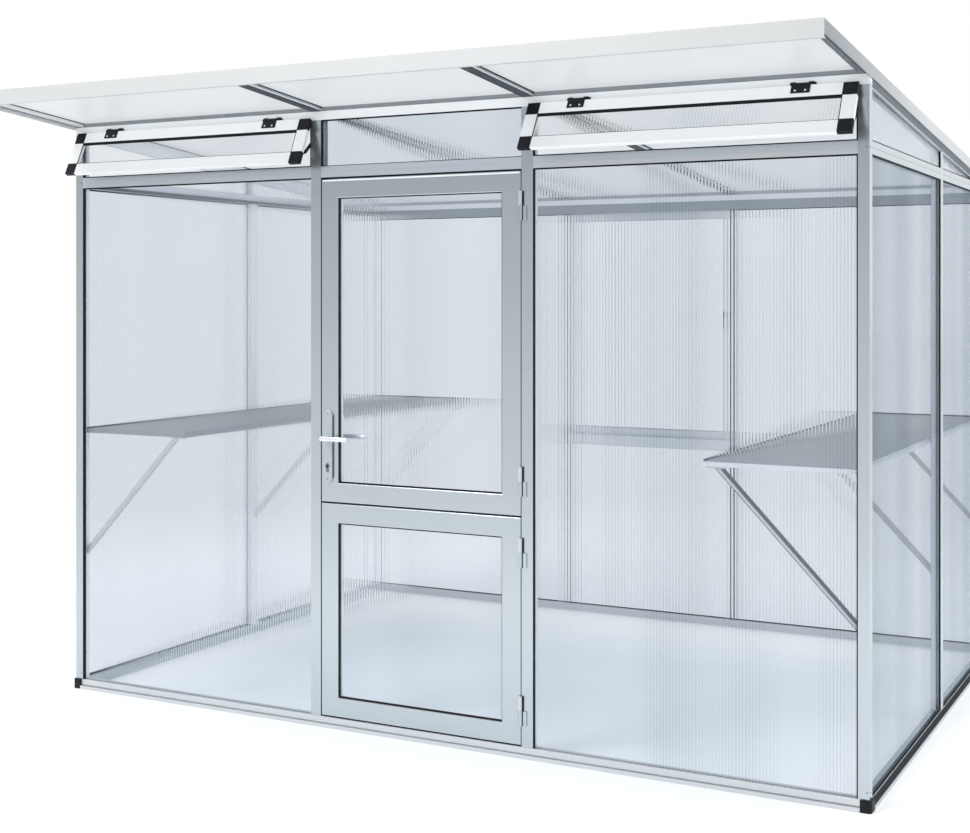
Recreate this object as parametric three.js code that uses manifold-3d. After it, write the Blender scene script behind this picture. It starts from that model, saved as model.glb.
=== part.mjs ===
// Pent roof greenhouse: aluminium bars, twin-wall glazing, stable door, two top vents, rear window.
// Millimetres, +Z up. The high front wall faces -Y and the roof falls towards +Y.
import * as THREE from 'three';
import { mergeVertices } from 'three/addons/utils/BufferGeometryUtils.js';
import Module from 'manifold-3d';

const wasm = await Module();
wasm.setup();

// Overall sizes
const wallWidth = 3128;
const wallDepth = 2260;
const frontWallHeight = 2217.5;
const gableHeight = 199.5;
const rearRise = 5.1;
const frontOverhang = 540;
const rearOverhang = 60;

// Clearances
const seatGap = 0.3;
const runGap = 0.5;
const paneFit = 0.3;
const doorGap = 3;
const cutOverrun = 2;

// Wall bars
const barDepth = 36;
const cornerWidth = 35;
const postWidth = 42;
const sideBayClear = 1084;
const grooveDepth = 10;
const paneSetback = 8;
const paneThickness = 10;
const paneEntry = 9;

// Sill and its corner feet
const sillHeight = 38;
const sillLip = 8;
const sillLipHeight = 14;
const sillGrooveHeight = 3;
const sillGrooveDepth = 4;
const footLength = 36;
const footHeight = 34;

// Rails
const headHeight = 40;
const headStepHeight = 2;
const headStepDepth = 1.5;
const halvingDepth = 18;
const topRailHeight = 31.5;
const sealSetback = 10;
const sealThickness = 16;
const rearHeadDrop = 20;
const midRailBottom = 826;
const midRailHeight = 50;

// Roof
const roofSheet = 10;
const rafterDrop = 17;
const rafterWidth = 38;
const rafterWeb = 14;
const capThickness = 2.5;
const sheetFit = 0.3;
const sheetSideGap = 1;
const vergeWeb = 4.5;
const vergeHang = 10;
const vergeLegStart = 13;
const vergeLegWidth = 18;
const vergeRecess = 12;
const vergeSheetStart = 17;
const gableRailHeight = 39;
const gableJoin = 2;
const gableTip = 5;
const gableStrip = 7.4;
const eaveWeb = 3;
const eaveLip = 16;
const fasciaHang = 23;
const rearTrimHang = 14;

// Door
const doorBottomGap = 5;
const doorTopGap = 6;
const doorSplitHeight = 807;
const doorSplitGap = 5;
const leafDepth = 30;
const leafStile = 72;
const leafRail = 70;
const stopLip = 8;
const stopThickness = 5;
const knuckleRadius = 7;
const knuckleHeight = 100;
const knuckleOffset = 8;
const knuckleStrap = 14;
const strapThickness = 5;
const upperKnuckleInset = 68;
const lowerKnuckleInset = 66;
const leafSegments = 12;

// Door furniture
const plateWidth = 39;
const plateLength = 260;
const plateThickness = 7;
const plateEdgeInset = 11;
const plateCentreHeight = 1011;
const leverHeight = 1042;
const spindleRadius = 5;
const spindleFit = 0.4;
const neckRadius = 9;
const neckLength = 46;
const leverLength = 118;
const leverThickness = 12;
const leverTall = 18;
const cylinderDrop = 99;
const cylinderRadius = 8.5;
const cylinderWidth = 10;
const cylinderTall = 33;
const cylinderProud = 1.5;
const latchThickness = 10;
const latchTall = 16;
const latchLength = 40;
const latchRise = 30;
const latchThrow = 10;
const latchTravel = 12;
const latchFit = 0.6;

// Vents and window: flat sashes that lap the bars round their opening
const sashThickness = 16;
const sashRail = 44;
const sashLap = 8;
const sashFaceGap = 0.5;
const ventSashHeight = 180;
const ventAxisDrop = 22.5;
const hingeRadius = 6;
const hingeClear = 7;
const hingeAxisOut = 8;
const hingeKnuckle = 36;
const hingeEar = 19;
const hingeKnuckleGap = 0.4;
const hingeInsetShare = 0.16;
const leftVentOpenDeg = 24;
const rightVentOpenDeg = 29;
const windowHingeInsetShare = 0.14;

// Vent stays
const stayPivotBack = 24;
const stayPivotDrop = 97.5;
const stayWidth = 12;
const stayThickness = 4;
const stayLength = 88;
const stayPinRadius = 3;
const stayPinLength = 8;
const stayPinFit = 0.4;
const lugReach = 24;
const lugDrop = 125;
const lugWidth = 8;
const lugHeight = 14;

// Window handle
const winPlateWidth = 22;
const winPlateHeight = 50;
const winPlateThickness = 8;
const winHandleHeight = 1470;
const winGripLength = 78;
const winGripWidth = 14;
const winGripThickness = 12;
const winSpindleRadius = 4;
const winNeckLength = 18;

// Shelves
const shelfTop = 1028;
const shelfLip = 17;
const shelfWidth = 494;
const shelfSheet = 2;
const shelfWallGap = 0.6;
const shelfEndInset = 20;
const braceFootBottom = 530;
const braceFootHeight = 28;
const braceReach = 448;
const braceTipReach = 483;
const braceTabDrop = 4;
const braceWidth = 15.4;
const braceEndGap = 0.3;

// Worked out sizes
const headTop = frontWallHeight - gableHeight;
const headBottom = headTop - headHeight;
const rearHeadBottom = headBottom - rearHeadDrop;
const ventAxisHeight = frontWallHeight - ventAxisDrop;
const stayPivotHeight = frontWallHeight - stayPivotDrop;
const roofFallShare = (gableHeight - rearRise) / wallDepth;
const topRailBottom = frontWallHeight - topRailHeight;
const doorPostLeft = cornerWidth + sideBayClear;
const doorClearLeft = doorPostLeft + postWidth;
const doorClearRight = wallWidth - doorClearLeft;
const doorPostRight = doorClearRight;
const mullionStart = (wallDepth - postWidth) / 2;
const grooveFront = paneSetback - paneFit;
const grooveBack = paneSetback + paneThickness + paneFit;
const sheetBottom = rafterDrop + sheetFit;
const sheetTop = sheetBottom + roofSheet;
const capBottom = sheetTop + sheetFit;
const capTop = capBottom + capThickness;
const roofLine = (y) => frontWallHeight - roofFallShare * y;

const aluminium = { color: '#c2c9d0', roughness: 0.38, metalness: 0.75 };
const brightAluminium = { color: '#e3e7ea', roughness: 0.3, metalness: 0.6 };
const whiteAluminium = { color: '#eef0f2', roughness: 0.35, metalness: 0.2 };
const shelfAluminium = { color: '#aab3bb', roughness: 0.45, metalness: 0.7 };
const clearSheet = { color: '#dfe5ee', roughness: 0.25, metalness: 0, opacity: 0.4 };
const opalSheet = { color: '#eef1f5', roughness: 0.4, metalness: 0, opacity: 0.75 };
const polishedSteel = { color: '#c9ced4', roughness: 0.22, metalness: 0.9 };
const blackPlastic = { color: '#1c2026', roughness: 0.5, metalness: 0 };

const greenhouse = new THREE.Group();

function addPiece(parent, name, geometry, finish, x = 0, y = 0, z = 0) {
  const seeThrough = finish.opacity !== undefined;
  const material = new THREE.MeshStandardMaterial({ ...finish, transparent: seeThrough });
  const mesh = new THREE.Mesh(geometry, material);
  mesh.name = name;
  mesh.position.set(x, y, z);
  parent.add(mesh);
  return mesh;
}

function addGroup(parent, x, y, z) {
  const group = new THREE.Group();
  group.position.set(x, y, z);
  parent.add(group);
  return group;
}

function outline(points) {
  const shape = new THREE.Shape();
  points.forEach(([u, v], index) => (index ? shape.lineTo(u, v) : shape.moveTo(u, v)));
  return shape;
}

function extruded(shape, length, segments = 1) {
  const settings = { depth: length, bevelEnabled: false, curveSegments: segments };
  return new THREE.ExtrudeGeometry(shape, settings);
}

const towardsX = new THREE.Matrix4().makeBasis(
  new THREE.Vector3(0, 1, 0),
  new THREE.Vector3(0, 0, 1),
  new THREE.Vector3(1, 0, 0),
);
const towardsY = new THREE.Matrix4().makeBasis(
  new THREE.Vector3(1, 0, 0),
  new THREE.Vector3(0, 0, 1),
  new THREE.Vector3(0, -1, 0),
);

// Outline in (y, z), drawn out along x from zero
function alongX(shape, length, segments) {
  return extruded(shape, length, segments).applyMatrix4(towardsX);
}

// Outline in (x, z), drawn out along y from zero
function alongY(shape, length, segments) {
  return extruded(shape, length, segments).applyMatrix4(towardsY).translate(0, length, 0);
}

function slab(x0, x1, y0, y1, z0, z1) {
  const box = new THREE.BoxGeometry(x1 - x0, y1 - y0, z1 - z0);
  return box.translate((x0 + x1) / 2, (y0 + y1) / 2, (z0 + z1) / 2);
}

function solidOf(geometry) {
  const bare = geometry.clone();
  bare.deleteAttribute('normal');
  bare.deleteAttribute('uv');
  const merged = mergeVertices(bare);
  return new wasm.Manifold(new wasm.Mesh({
    numProp: 3,
    vertProperties: Float32Array.from(merged.attributes.position.array),
    triVerts: Uint32Array.from(merged.index.array),
  }));
}

function geometryOf(solid) {
  const mesh = solid.getMesh();
  const geometry = new THREE.BufferGeometry();
  geometry.setAttribute('position', new THREE.BufferAttribute(Float32Array.from(mesh.vertProperties), 3));
  geometry.setIndex(new THREE.BufferAttribute(Uint32Array.from(mesh.triVerts), 1));
  const loose = geometry.toNonIndexed();
  loose.computeVertexNormals();
  return loose;
}

function shaped(body, { added = [], removed = [] }) {
  let solid = solidOf(body);
  for (const extra of added) {
    solid = solid.add(solidOf(extra));
  }
  for (const tool of removed) {
    solid = solid.subtract(solidOf(tool));
  }
  return geometryOf(solid);
}

// Section of a wall bar: u across it, v in from the outer face, with glazing grooves in its sides
function barSection(width, { low = true, high = true, back = false } = {}) {
  const points = [[0, 0], [width, 0]];
  if (high) {
    points.push([width, grooveFront], [width - grooveDepth, grooveFront]);
    points.push([width - grooveDepth, grooveBack], [width, grooveBack]);
  }
  points.push([width, barDepth]);
  if (back) {
    points.push([grooveBack, barDepth], [grooveBack, barDepth - grooveDepth]);
    points.push([grooveFront, barDepth - grooveDepth], [grooveFront, barDepth]);
  }
  points.push([0, barDepth]);
  if (low) {
    points.push([0, grooveBack], [grooveDepth, grooveBack]);
    points.push([grooveDepth, grooveFront], [0, grooveFront]);
  }
  return points;
}

const swapped = (points) => points.map(([u, v]) => [v, u]);

// A wall's own frame runs along its outer face: x from its left end seen from outside, y inwards
function addWallFrame(x, y, turns) {
  const wall = addGroup(greenhouse, x, y, 0);
  wall.rotation.z = turns * Math.PI / 2;
  return wall;
}

const frontWall = addWallFrame(0, 0, 0);
const rightWall = addWallFrame(wallWidth, 0, 1);
const rearWall = addWallFrame(wallWidth, wallDepth, 2);
const leftWall = addWallFrame(0, wallDepth, -1);

function sillSection() {
  const grooveLevel = sillLipHeight + sillGrooveHeight;
  return [
    [-sillLip, 0], [barDepth, 0], [barDepth, sillHeight], [grooveBack, sillHeight],
    [grooveBack, sillHeight - grooveDepth], [grooveFront, sillHeight - grooveDepth],
    [grooveFront, sillHeight], [0, sillHeight], [0, grooveLevel],
    [sillGrooveDepth, grooveLevel], [sillGrooveDepth, sillLipHeight], [-sillLip, sillLipHeight],
  ];
}

// Front and rear sills carry the stepped corner feet, and a groove end for each side wall's pane
function longSill(length) {
  const bar = alongX(outline(sillSection()), length);
  const face = grooveFront - cutOverrun;
  const feet = [
    slab(-sillLip, footLength, -sillLip, face, 0, footHeight),
    slab(-sillLip, face, -sillLip, barDepth, 0, footHeight),
    slab(length - footLength, length + sillLip, -sillLip, face, 0, footHeight),
    slab(length - face, length + sillLip, -sillLip, barDepth, 0, footHeight),
  ];
  const grooveStart = barDepth - grooveDepth;
  const grooveEnd = barDepth + cutOverrun;
  const low = sillHeight - grooveDepth;
  const high = sillHeight + cutOverrun;
  const grooves = [
    slab(grooveFront, grooveBack, grooveStart, grooveEnd, low, high),
    slab(length - grooveBack, length - grooveFront, grooveStart, grooveEnd, low, high),
  ];
  return shaped(bar, { added: feet, removed: grooves });
}

function addSills() {
  const sideLength = wallDepth - 2 * (barDepth + seatGap);
  addPiece(frontWall, 'front_sill', longSill(wallWidth), aluminium);
  addPiece(rearWall, 'rear_sill', longSill(wallWidth), aluminium);
  const sideSill = () => alongX(outline(sillSection()), sideLength);
  addPiece(leftWall, 'left_sill', sideSill(), aluminium, barDepth + seatGap);
  addPiece(rightWall, 'right_sill', sideSill(), aluminium, barDepth + seatGap);
}

// Round pin hole for a vent stay in the side of a bar; reach is where the bar's face lies
function stayPinHole(faceX) {
  const radius = stayPinRadius + stayPinFit;
  const depth = stayPinLength + cutOverrun;
  const hole = new THREE.CylinderGeometry(radius, radius, 2 * depth, leafSegments);
  return hole.rotateZ(Math.PI / 2).translate(faceX, stayPivotBack, stayPivotHeight);
}

function addCornerPosts() {
  const bottom = sillHeight + seatGap;
  const corner = barSection(cornerWidth, { low: false, back: true });
  const mirrored = corner.map(([u, v]) => [cornerWidth - u, v]);
  const front = topRailBottom - seatGap - bottom;
  const rear = headTop - bottom;
  const rightStart = wallWidth - cornerWidth;
  const frontRight = extruded(outline(mirrored), front).translate(rightStart, 0, bottom);
  addPiece(frontWall, 'front_left_post', extruded(outline(corner), front), aluminium, 0, 0, bottom);
  addPiece(frontWall, 'front_right_post', shaped(frontRight, { removed: [stayPinHole(rightStart)] }), aluminium);
  addPiece(rearWall, 'rear_right_post', extruded(outline(corner), rear), aluminium, 0, 0, bottom);
  addPiece(rearWall, 'rear_left_post', extruded(outline(mirrored), rear), aluminium, rightStart, 0, bottom);
}

// Barrel of a door hinge with its strap, on the hinge axis; side is -1 for the leaf and 1 for the post
function doorKnuckle(axisX, z0, height, side) {
  const barrel = new THREE.CylinderGeometry(knuckleRadius, knuckleRadius, height, leafSegments);
  barrel.rotateX(Math.PI / 2).translate(axisX, -knuckleOffset, z0 + height / 2);
  const strapEnd = axisX + side * (knuckleRadius + knuckleStrap);
  const nearX = Math.min(axisX, strapEnd);
  const farX = Math.max(axisX, strapEnd);
  const strap = slab(nearX, farX, -strapThickness, cutOverrun, z0, z0 + height);
  return [barrel, strap];
}

const doorAxisX = doorClearRight - doorGap / 2;
const doorBottom = sillHeight + doorBottomGap;
const doorTop = headBottom - doorTopGap;
const lowerLeafTop = doorSplitHeight;
const upperLeafBottom = doorSplitHeight + doorSplitGap;
const knuckleStarts = [
  doorBottom + lowerKnuckleInset, lowerLeafTop - upperKnuckleInset - knuckleHeight,
  upperLeafBottom + lowerKnuckleInset, doorTop - upperKnuckleInset - knuckleHeight,
];
const halfKnuckle = (knuckleHeight - hingeKnuckleGap) / 2;

function addDoorPosts() {
  const bottom = sillHeight + seatGap;
  const height = topRailBottom - seatGap - bottom;
  const stopEnd = headBottom - seatGap;
  const section = extruded(outline(barSection(postWidth)), height);
  const halving = (x) => slab(
    x - cutOverrun, x + postWidth + cutOverrun, halvingDepth, barDepth + cutOverrun,
    headBottom - seatGap, headTop + seatGap,
  );
  const stopBack = leafDepth + runGap + stopThickness;
  const lengths = [[bottom, stopEnd], [headTop + seatGap, bottom + height]];
  const stopsAt = (x0, x1) => lengths.map(([z0, z1]) => slab(x0, x1, leafDepth + runGap, stopBack, z0, z1));
  const leftStops = stopsAt(doorClearLeft - cutOverrun, doorClearLeft + stopLip);
  const rightStops = stopsAt(doorClearRight - stopLip, doorClearRight + cutOverrun);
  const left = shaped(section.clone().translate(doorPostLeft, 0, bottom), {
    added: leftStops, removed: [halving(doorPostLeft), stayPinHole(doorPostLeft)],
  });
  const barrels = knuckleStarts.flatMap((z) => doorKnuckle(doorAxisX, z, halfKnuckle, 1));
  const clearOfLeaf = (z) => slab(
    doorAxisX - knuckleStrap, doorClearRight, 0, leafDepth, z - cutOverrun, z + halfKnuckle + cutOverrun,
  );
  const right = shaped(section.clone().translate(doorPostRight, 0, bottom), {
    added: [...rightStops, ...barrels], removed: [halving(doorPostRight), ...knuckleStarts.map(clearOfLeaf)],
  });
  addPiece(frontWall, 'door_post_left', left, aluminium);
  addPiece(frontWall, 'door_post_right', right, aluminium);
}

function headSection(height) {
  const points = swapped(barSection(height));
  const middle = (height - headStepHeight) / 2;
  points.splice(1, 0, [0, middle], [headStepDepth, middle]);
  points.splice(3, 0, [headStepDepth, middle + headStepHeight], [0, middle + headStepHeight]);
  return points;
}

// Wall head rail, cut away outside where bars pass in front of it
function headRail(start, end, crossings) {
  const bar = alongX(outline(headSection(headHeight)), end - start).translate(start, 0, headBottom);
  const removed = crossings.map((x) => slab(
    x - seatGap, x + postWidth + seatGap, -cutOverrun, halvingDepth + seatGap,
    headBottom - cutOverrun, headTop + cutOverrun,
  ));
  return shaped(bar, { removed });
}

// Strip that closes the gap between a wall rail and the roof sheets, one length for each sheet
function sealStrips(wallY, inwards) {
  const near = wallY + inwards * sealSetback;
  const far = wallY + inwards * (sealSetback + sealThickness);
  const top = seatGap + sheetBottom - seatGap;
  return roofBays().map(([x0, x1]) => sheared(slab(
    x0 + seatGap, x1 - seatGap, Math.min(near, far), Math.max(near, far),
    frontWallHeight - cutOverrun, frontWallHeight + top,
  )));
}

function addHeadRails() {
  const start = cornerWidth + seatGap;
  const end = wallWidth - start;
  addPiece(frontWall, 'front_head_rail', headRail(start, end, [doorPostLeft, doorPostRight]), aluminium);
  const sideStart = barDepth + seatGap;
  const sideEnd = wallDepth - sideStart;
  addPiece(leftWall, 'left_head_rail', headRail(sideStart, sideEnd, [mullionStart]), aluminium);
  addPiece(rightWall, 'right_head_rail', headRail(sideStart, sideEnd, [mullionStart]), aluminium);
}

// The roof is drawn level above the top of the front wall, then sheared down towards the rear
const roofShear = new THREE.Matrix4().set(
  1, 0, 0, 0,
  0, 1, 0, 0,
  0, -roofFallShare, 1, 0,
  0, 0, 0, 1,
);
const sheared = (geometry) => geometry.applyMatrix4(roofShear);
const rafterCentres = [doorPostLeft + postWidth / 2, doorPostRight + postWidth / 2];

// Clear widths between the rafters and the two gable walls
function roofBays() {
  const half = rafterWidth / 2;
  const [first, second] = rafterCentres;
  return [
    [cornerWidth, first - half],
    [first + half, second - half],
    [second + half, wallWidth - cornerWidth],
  ];
}

function ventHingeCentres(x0, x1) {
  const inset = (x1 - x0) * hingeInsetShare;
  return [x0 + inset, x1 - inset];
}

// Knuckles and ears that stay on the rail, either side of the sash's own knuckle
function fixedVentEars(centre) {
  const ears = [];
  for (const side of [-1, 1]) {
    const near = centre + side * (hingeKnuckle / 2 + hingeKnuckleGap);
    const far = near + side * hingeEar;
    const x0 = Math.min(near, far);
    const x1 = Math.max(near, far);
    const barrel = new THREE.CylinderGeometry(hingeRadius, hingeRadius, hingeEar, leafSegments);
    barrel.rotateZ(Math.PI / 2).translate((x0 + x1) / 2, -hingeAxisOut, ventAxisHeight);
    ears.push(barrel);
    const earTop = ventAxisHeight + 2 * hingeRadius;
    ears.push(slab(x0, x1, -hingeAxisOut, cutOverrun, ventAxisHeight, earTop));
  }
  return ears;
}

const leftVentSpan = [cornerWidth - sashLap, doorPostLeft + sashLap];
const rightVentSpan = leftVentSpan.map((x) => wallWidth - x).reverse();

function addTopRail() {
  const section = [
    [0, topRailBottom], [grooveFront, topRailBottom], [grooveFront, topRailBottom + grooveDepth],
    [grooveBack, topRailBottom + grooveDepth], [grooveBack, topRailBottom], [barDepth, topRailBottom],
    [barDepth, roofLine(barDepth)], [0, frontWallHeight],
  ];
  const rail = alongX(outline(section), wallWidth);
  const centres = [leftVentSpan, rightVentSpan].flatMap(([x0, x1]) => ventHingeCentres(x0, x1));
  const ears = centres.flatMap(fixedVentEars);
  const geometry = shaped(rail, { added: [...sealStrips(0, 1), ...ears] });
  addPiece(frontWall, 'front_top_rail', geometry, brightAluminium);
}

function addRearRails() {
  const start = cornerWidth + seatGap;
  const inner = wallDepth - barDepth;
  const section = [
    [inner, rearHeadBottom], [wallDepth - grooveBack, rearHeadBottom],
    [wallDepth - grooveBack, rearHeadBottom + grooveDepth],
    [wallDepth - grooveFront, rearHeadBottom + grooveDepth], [wallDepth - grooveFront, rearHeadBottom],
    [wallDepth, rearHeadBottom], [wallDepth, roofLine(wallDepth)], [inner, roofLine(inner)],
  ];
  const rail = alongX(outline(section), wallWidth - 2 * start).translate(start, 0, 0);
  const strips = sealStrips(wallDepth, -1);
  addPiece(greenhouse, 'rear_head_rail', shaped(rail, { added: strips }), aluminium);
  const midStart = doorClearLeft + seatGap;
  const midLength = doorClearRight - doorClearLeft - 2 * seatGap;
  const midSection = outline(swapped(barSection(midRailHeight, { high: false })));
  addPiece(rearWall, 'rear_mid_rail', alongX(midSection, midLength), aluminium, midStart, 0, midRailBottom);
}

function addMullions() {
  const bottom = sillHeight + seatGap;
  const section = () => outline(barSection(postWidth));
  const rearHeight = rearHeadBottom - seatGap - bottom;
  const rearMullion = () => extruded(section(), rearHeight);
  const ears = windowEars();
  const hinged = shaped(rearMullion().translate(doorPostRight, 0, bottom), { added: ears });
  addPiece(rearWall, 'rear_mullion_left', hinged, aluminium);
  addPiece(rearWall, 'rear_mullion_right', rearMullion(), aluminium, doorPostLeft, 0, bottom);
  const rearEdge = mullionStart + postWidth;
  const top = gableBottom(rearEdge) - seatGap;
  const sideMullion = () => shaped(extruded(section(), top - bottom).translate(mullionStart, 0, bottom), {
    removed: [
      slab(
        mullionStart - cutOverrun, rearEdge + cutOverrun, halvingDepth, barDepth + cutOverrun,
        headBottom - seatGap, headTop + seatGap,
      ),
      slab(
        mullionStart - cutOverrun, rearEdge + cutOverrun, gableStrip, barDepth + cutOverrun,
        headTop - grooveDepth, top + cutOverrun,
      ),
    ],
  });
  addPiece(leftWall, 'left_mullion', sideMullion(), aluminium);
  addPiece(rightWall, 'right_mullion', sideMullion(), aluminium);
}

// Underside of the sloping gable rail
const gableBottom = (y) => roofLine(y) + seatGap - gableRailHeight;
const gableMeet = (frontWallHeight - gableRailHeight - headTop) / roofFallShare;

// Verge section: u in from the wall's outer face, h up from the underside of the rafters
function vergeSection() {
  const legEnd = vergeLegStart + vergeLegWidth;
  const outer = -runGap - vergeWeb;
  return [
    [outer, -vergeHang], [-runGap, -vergeHang], [-runGap, vergeRecess], [vergeLegStart, vergeRecess],
    [vergeLegStart, 0], [legEnd, 0], [legEnd, rafterDrop], [vergeSheetStart, rafterDrop],
    [vergeSheetStart, capBottom], [rafterWidth, capBottom], [rafterWidth, capTop], [outer, capTop],
  ];
}

const eaveStart = -frontOverhang + eaveWeb + seatGap;
const eaveEnd = wallDepth + rearOverhang - eaveWeb - seatGap;
const roofBase = frontWallHeight + seatGap;

function vergeAndGable(mirror) {
  const across = (u) => (mirror ? wallWidth - u : u);
  const profile = vergeSection().map(([u, h]) => [across(u), h + roofBase]);
  const verge = sheared(alongY(outline(profile), eaveEnd - eaveStart).translate(0, eaveStart, 0));
  const front = barDepth + seatGap;
  const rail = [
    [front, roofLine(front) + seatGap + gableJoin], [wallDepth, roofLine(wallDepth) + seatGap + gableJoin],
    [wallDepth, headTop + seatGap], [gableMeet, headTop + seatGap], [front, gableBottom(front)],
  ];
  const groove = [
    [front - cutOverrun, gableBottom(front - cutOverrun) - cutOverrun],
    [gableMeet, gableBottom(gableMeet) - cutOverrun],
    [gableMeet, gableBottom(gableMeet) + grooveDepth],
    [front - cutOverrun, gableBottom(front - cutOverrun) + grooveDepth],
  ];
  const railStart = mirror ? wallWidth - cornerWidth : 0;
  const grooveStart = mirror ? wallWidth - grooveBack : grooveFront;
  const gable = alongX(outline(rail), cornerWidth).translate(railStart, 0, 0);
  const channel = alongX(outline(groove), grooveBack - grooveFront).translate(grooveStart, 0, 0);
  return shaped(verge, { added: [gable], removed: [channel] });
}

function addRafters() {
  addPiece(greenhouse, 'left_verge', vergeAndGable(false), aluminium);
  addPiece(greenhouse, 'right_verge', vergeAndGable(true), aluminium);
  const half = rafterWidth / 2;
  const web = rafterWeb / 2;
  const section = [
    [-half, 0], [half, 0], [half, rafterDrop], [web, rafterDrop], [web, capBottom], [half, capBottom],
    [half, capTop], [-half, capTop], [-half, capBottom], [-web, capBottom], [-web, rafterDrop],
    [-half, rafterDrop],
  ];
  ['left_rafter', 'right_rafter'].forEach((name, index) => {
    const bar = alongY(outline(section), eaveEnd - eaveStart);
    const placed = bar.translate(rafterCentres[index], eaveStart, roofBase);
    addPiece(greenhouse, name, sheared(placed), aluminium);
  });
}

function addRoofSheets() {
  const web = rafterWeb / 2;
  const [first, second] = rafterCentres;
  const edges = [
    [vergeSheetStart, first - web], [first + web, second - web],
    [second + web, wallWidth - vergeSheetStart],
  ];
  ['left', 'middle', 'right'].forEach((side, index) => {
    const [x0, x1] = edges[index];
    const sheet = slab(
      x0 + sheetSideGap, x1 - sheetSideGap, eaveStart, eaveEnd,
      roofBase + sheetBottom, roofBase + sheetTop,
    );
    addPiece(greenhouse, `roof_sheet_${side}`, sheared(sheet), opalSheet);
  });
}

function addEaves() {
  const left = -runGap - vergeWeb;
  const width = wallWidth - 2 * left;
  const eave = (hang) => alongX(outline([
    [0, -hang], [eaveLip, -hang], [eaveLip, eaveWeb - hang], [eaveWeb, eaveWeb - hang],
    [eaveWeb, capTop], [0, capTop],
  ]), width);
  const frontY = -frontOverhang;
  const fascia = eave(fasciaHang).translate(left, frontY, roofBase - roofFallShare * frontY);
  addPiece(greenhouse, 'fascia', fascia, whiteAluminium);
  const rearY = wallDepth + rearOverhang;
  const trim = eave(rearTrimHang).rotateZ(Math.PI);
  trim.translate(left + width, rearY, roofBase - roofFallShare * rearY);
  addPiece(greenhouse, 'rear_eave_trim', trim, aluminium);
}

// Flat glazing sheet let into the grooves of the bars round one bay
function bayPane(x0, x1, z0, z1, lowEntry = paneEntry) {
  return slab(
    x0 - paneEntry, x1 + paneEntry, paneSetback, paneSetback + paneThickness,
    z0 - lowEntry, z1 + paneEntry,
  );
}

function addWallPanes() {
  const rightBay = [doorPostRight + postWidth, wallWidth - cornerWidth];
  const sidePane = (x0, x1) => bayPane(x0, x1, sillHeight, headBottom);
  addPiece(frontWall, 'front_pane_left', sidePane(cornerWidth, doorPostLeft), clearSheet);
  addPiece(frontWall, 'front_pane_right', sidePane(...rightBay), clearSheet);
  const transom = bayPane(doorClearLeft, doorClearRight, headTop, topRailBottom);
  addPiece(frontWall, 'transom_pane', transom, clearSheet);
  const mullionEnd = mullionStart + postWidth;
  const farEnd = wallDepth - barDepth;
  addPiece(rightWall, 'right_pane_front', sidePane(barDepth, mullionStart), clearSheet);
  addPiece(rightWall, 'right_pane_rear', sidePane(mullionEnd, farEnd), clearSheet);
  addPiece(leftWall, 'left_pane_rear', sidePane(barDepth, mullionStart), clearSheet);
  addPiece(leftWall, 'left_pane_front', sidePane(mullionEnd, farEnd), clearSheet);
  const rearPane = (x0, x1, top) => bayPane(x0, x1, sillHeight, top);
  addPiece(rearWall, 'rear_pane_right', rearPane(cornerWidth, doorPostLeft, rearHeadBottom), clearSheet);
  addPiece(rearWall, 'rear_pane_left', rearPane(...rightBay, rearHeadBottom), clearSheet);
  addPiece(rearWall, 'rear_pane_lower', rearPane(doorClearLeft, doorClearRight, midRailBottom), clearSheet);
}

function addGablePanes() {
  const front = barDepth - paneEntry;
  const rear = gableMeet - gableTip;
  const shape = outline([
    [front, headTop - paneEntry], [rear, headTop - paneEntry],
    [rear, gableBottom(rear) + paneEntry], [front, gableBottom(front) + paneEntry],
  ]);
  const pane = () => alongX(shape, paneThickness);
  const rightStart = wallWidth - paneSetback - paneThickness;
  addPiece(greenhouse, 'gable_pane_left', pane(), clearSheet, paneSetback);
  addPiece(greenhouse, 'gable_pane_right', pane(), clearSheet, rightStart);
}

// Tray with a turned down lip all round, and three diagonal braces under it
function shelf() {
  const inner = barDepth + shelfWallGap;
  const outer = inner + shelfWidth;
  const y0 = shelfEndInset;
  const y1 = wallDepth - shelfEndInset;
  const tray = slab(inner, outer, y0, y1, shelfTop - shelfLip, shelfTop);
  const hollow = slab(
    inner + shelfSheet, outer - shelfSheet, y0 + shelfSheet, y1 - shelfSheet,
    shelfTop - shelfLip - cutOverrun, shelfTop - shelfSheet,
  );
  const hollowed = shaped(tray, { removed: [hollow] });
  const braceTop = shelfTop - shelfSheet / 2;
  const tabBottom = shelfTop - shelfLip - braceTabDrop;
  const footTop = braceFootBottom + braceFootHeight;
  const rise = (braceTop - footTop) / braceReach;
  const lowerReach = (tabBottom - braceFootBottom) / rise;
  const brace = outline([
    [inner, braceFootBottom], [inner + lowerReach, tabBottom], [inner + braceTipReach, tabBottom],
    [inner + braceTipReach, braceTop], [inner + braceReach, braceTop], [inner, footTop],
  ]);
  const frontBrace = shelfEndInset + braceEndGap;
  const starts = [frontBrace, (wallDepth - braceWidth) / 2, wallDepth - frontBrace - braceWidth];
  const braces = starts.map((y) => alongY(brace, braceWidth).translate(0, y, 0));
  return shaped(hollowed, { added: braces });
}

function addShelves() {
  addPiece(greenhouse, 'left_shelf', shelf(), shelfAluminium);
  const right = addPiece(greenhouse, 'right_shelf', shelf(), shelfAluminium, wallWidth, wallDepth);
  right.rotation.z = Math.PI;
}

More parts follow.
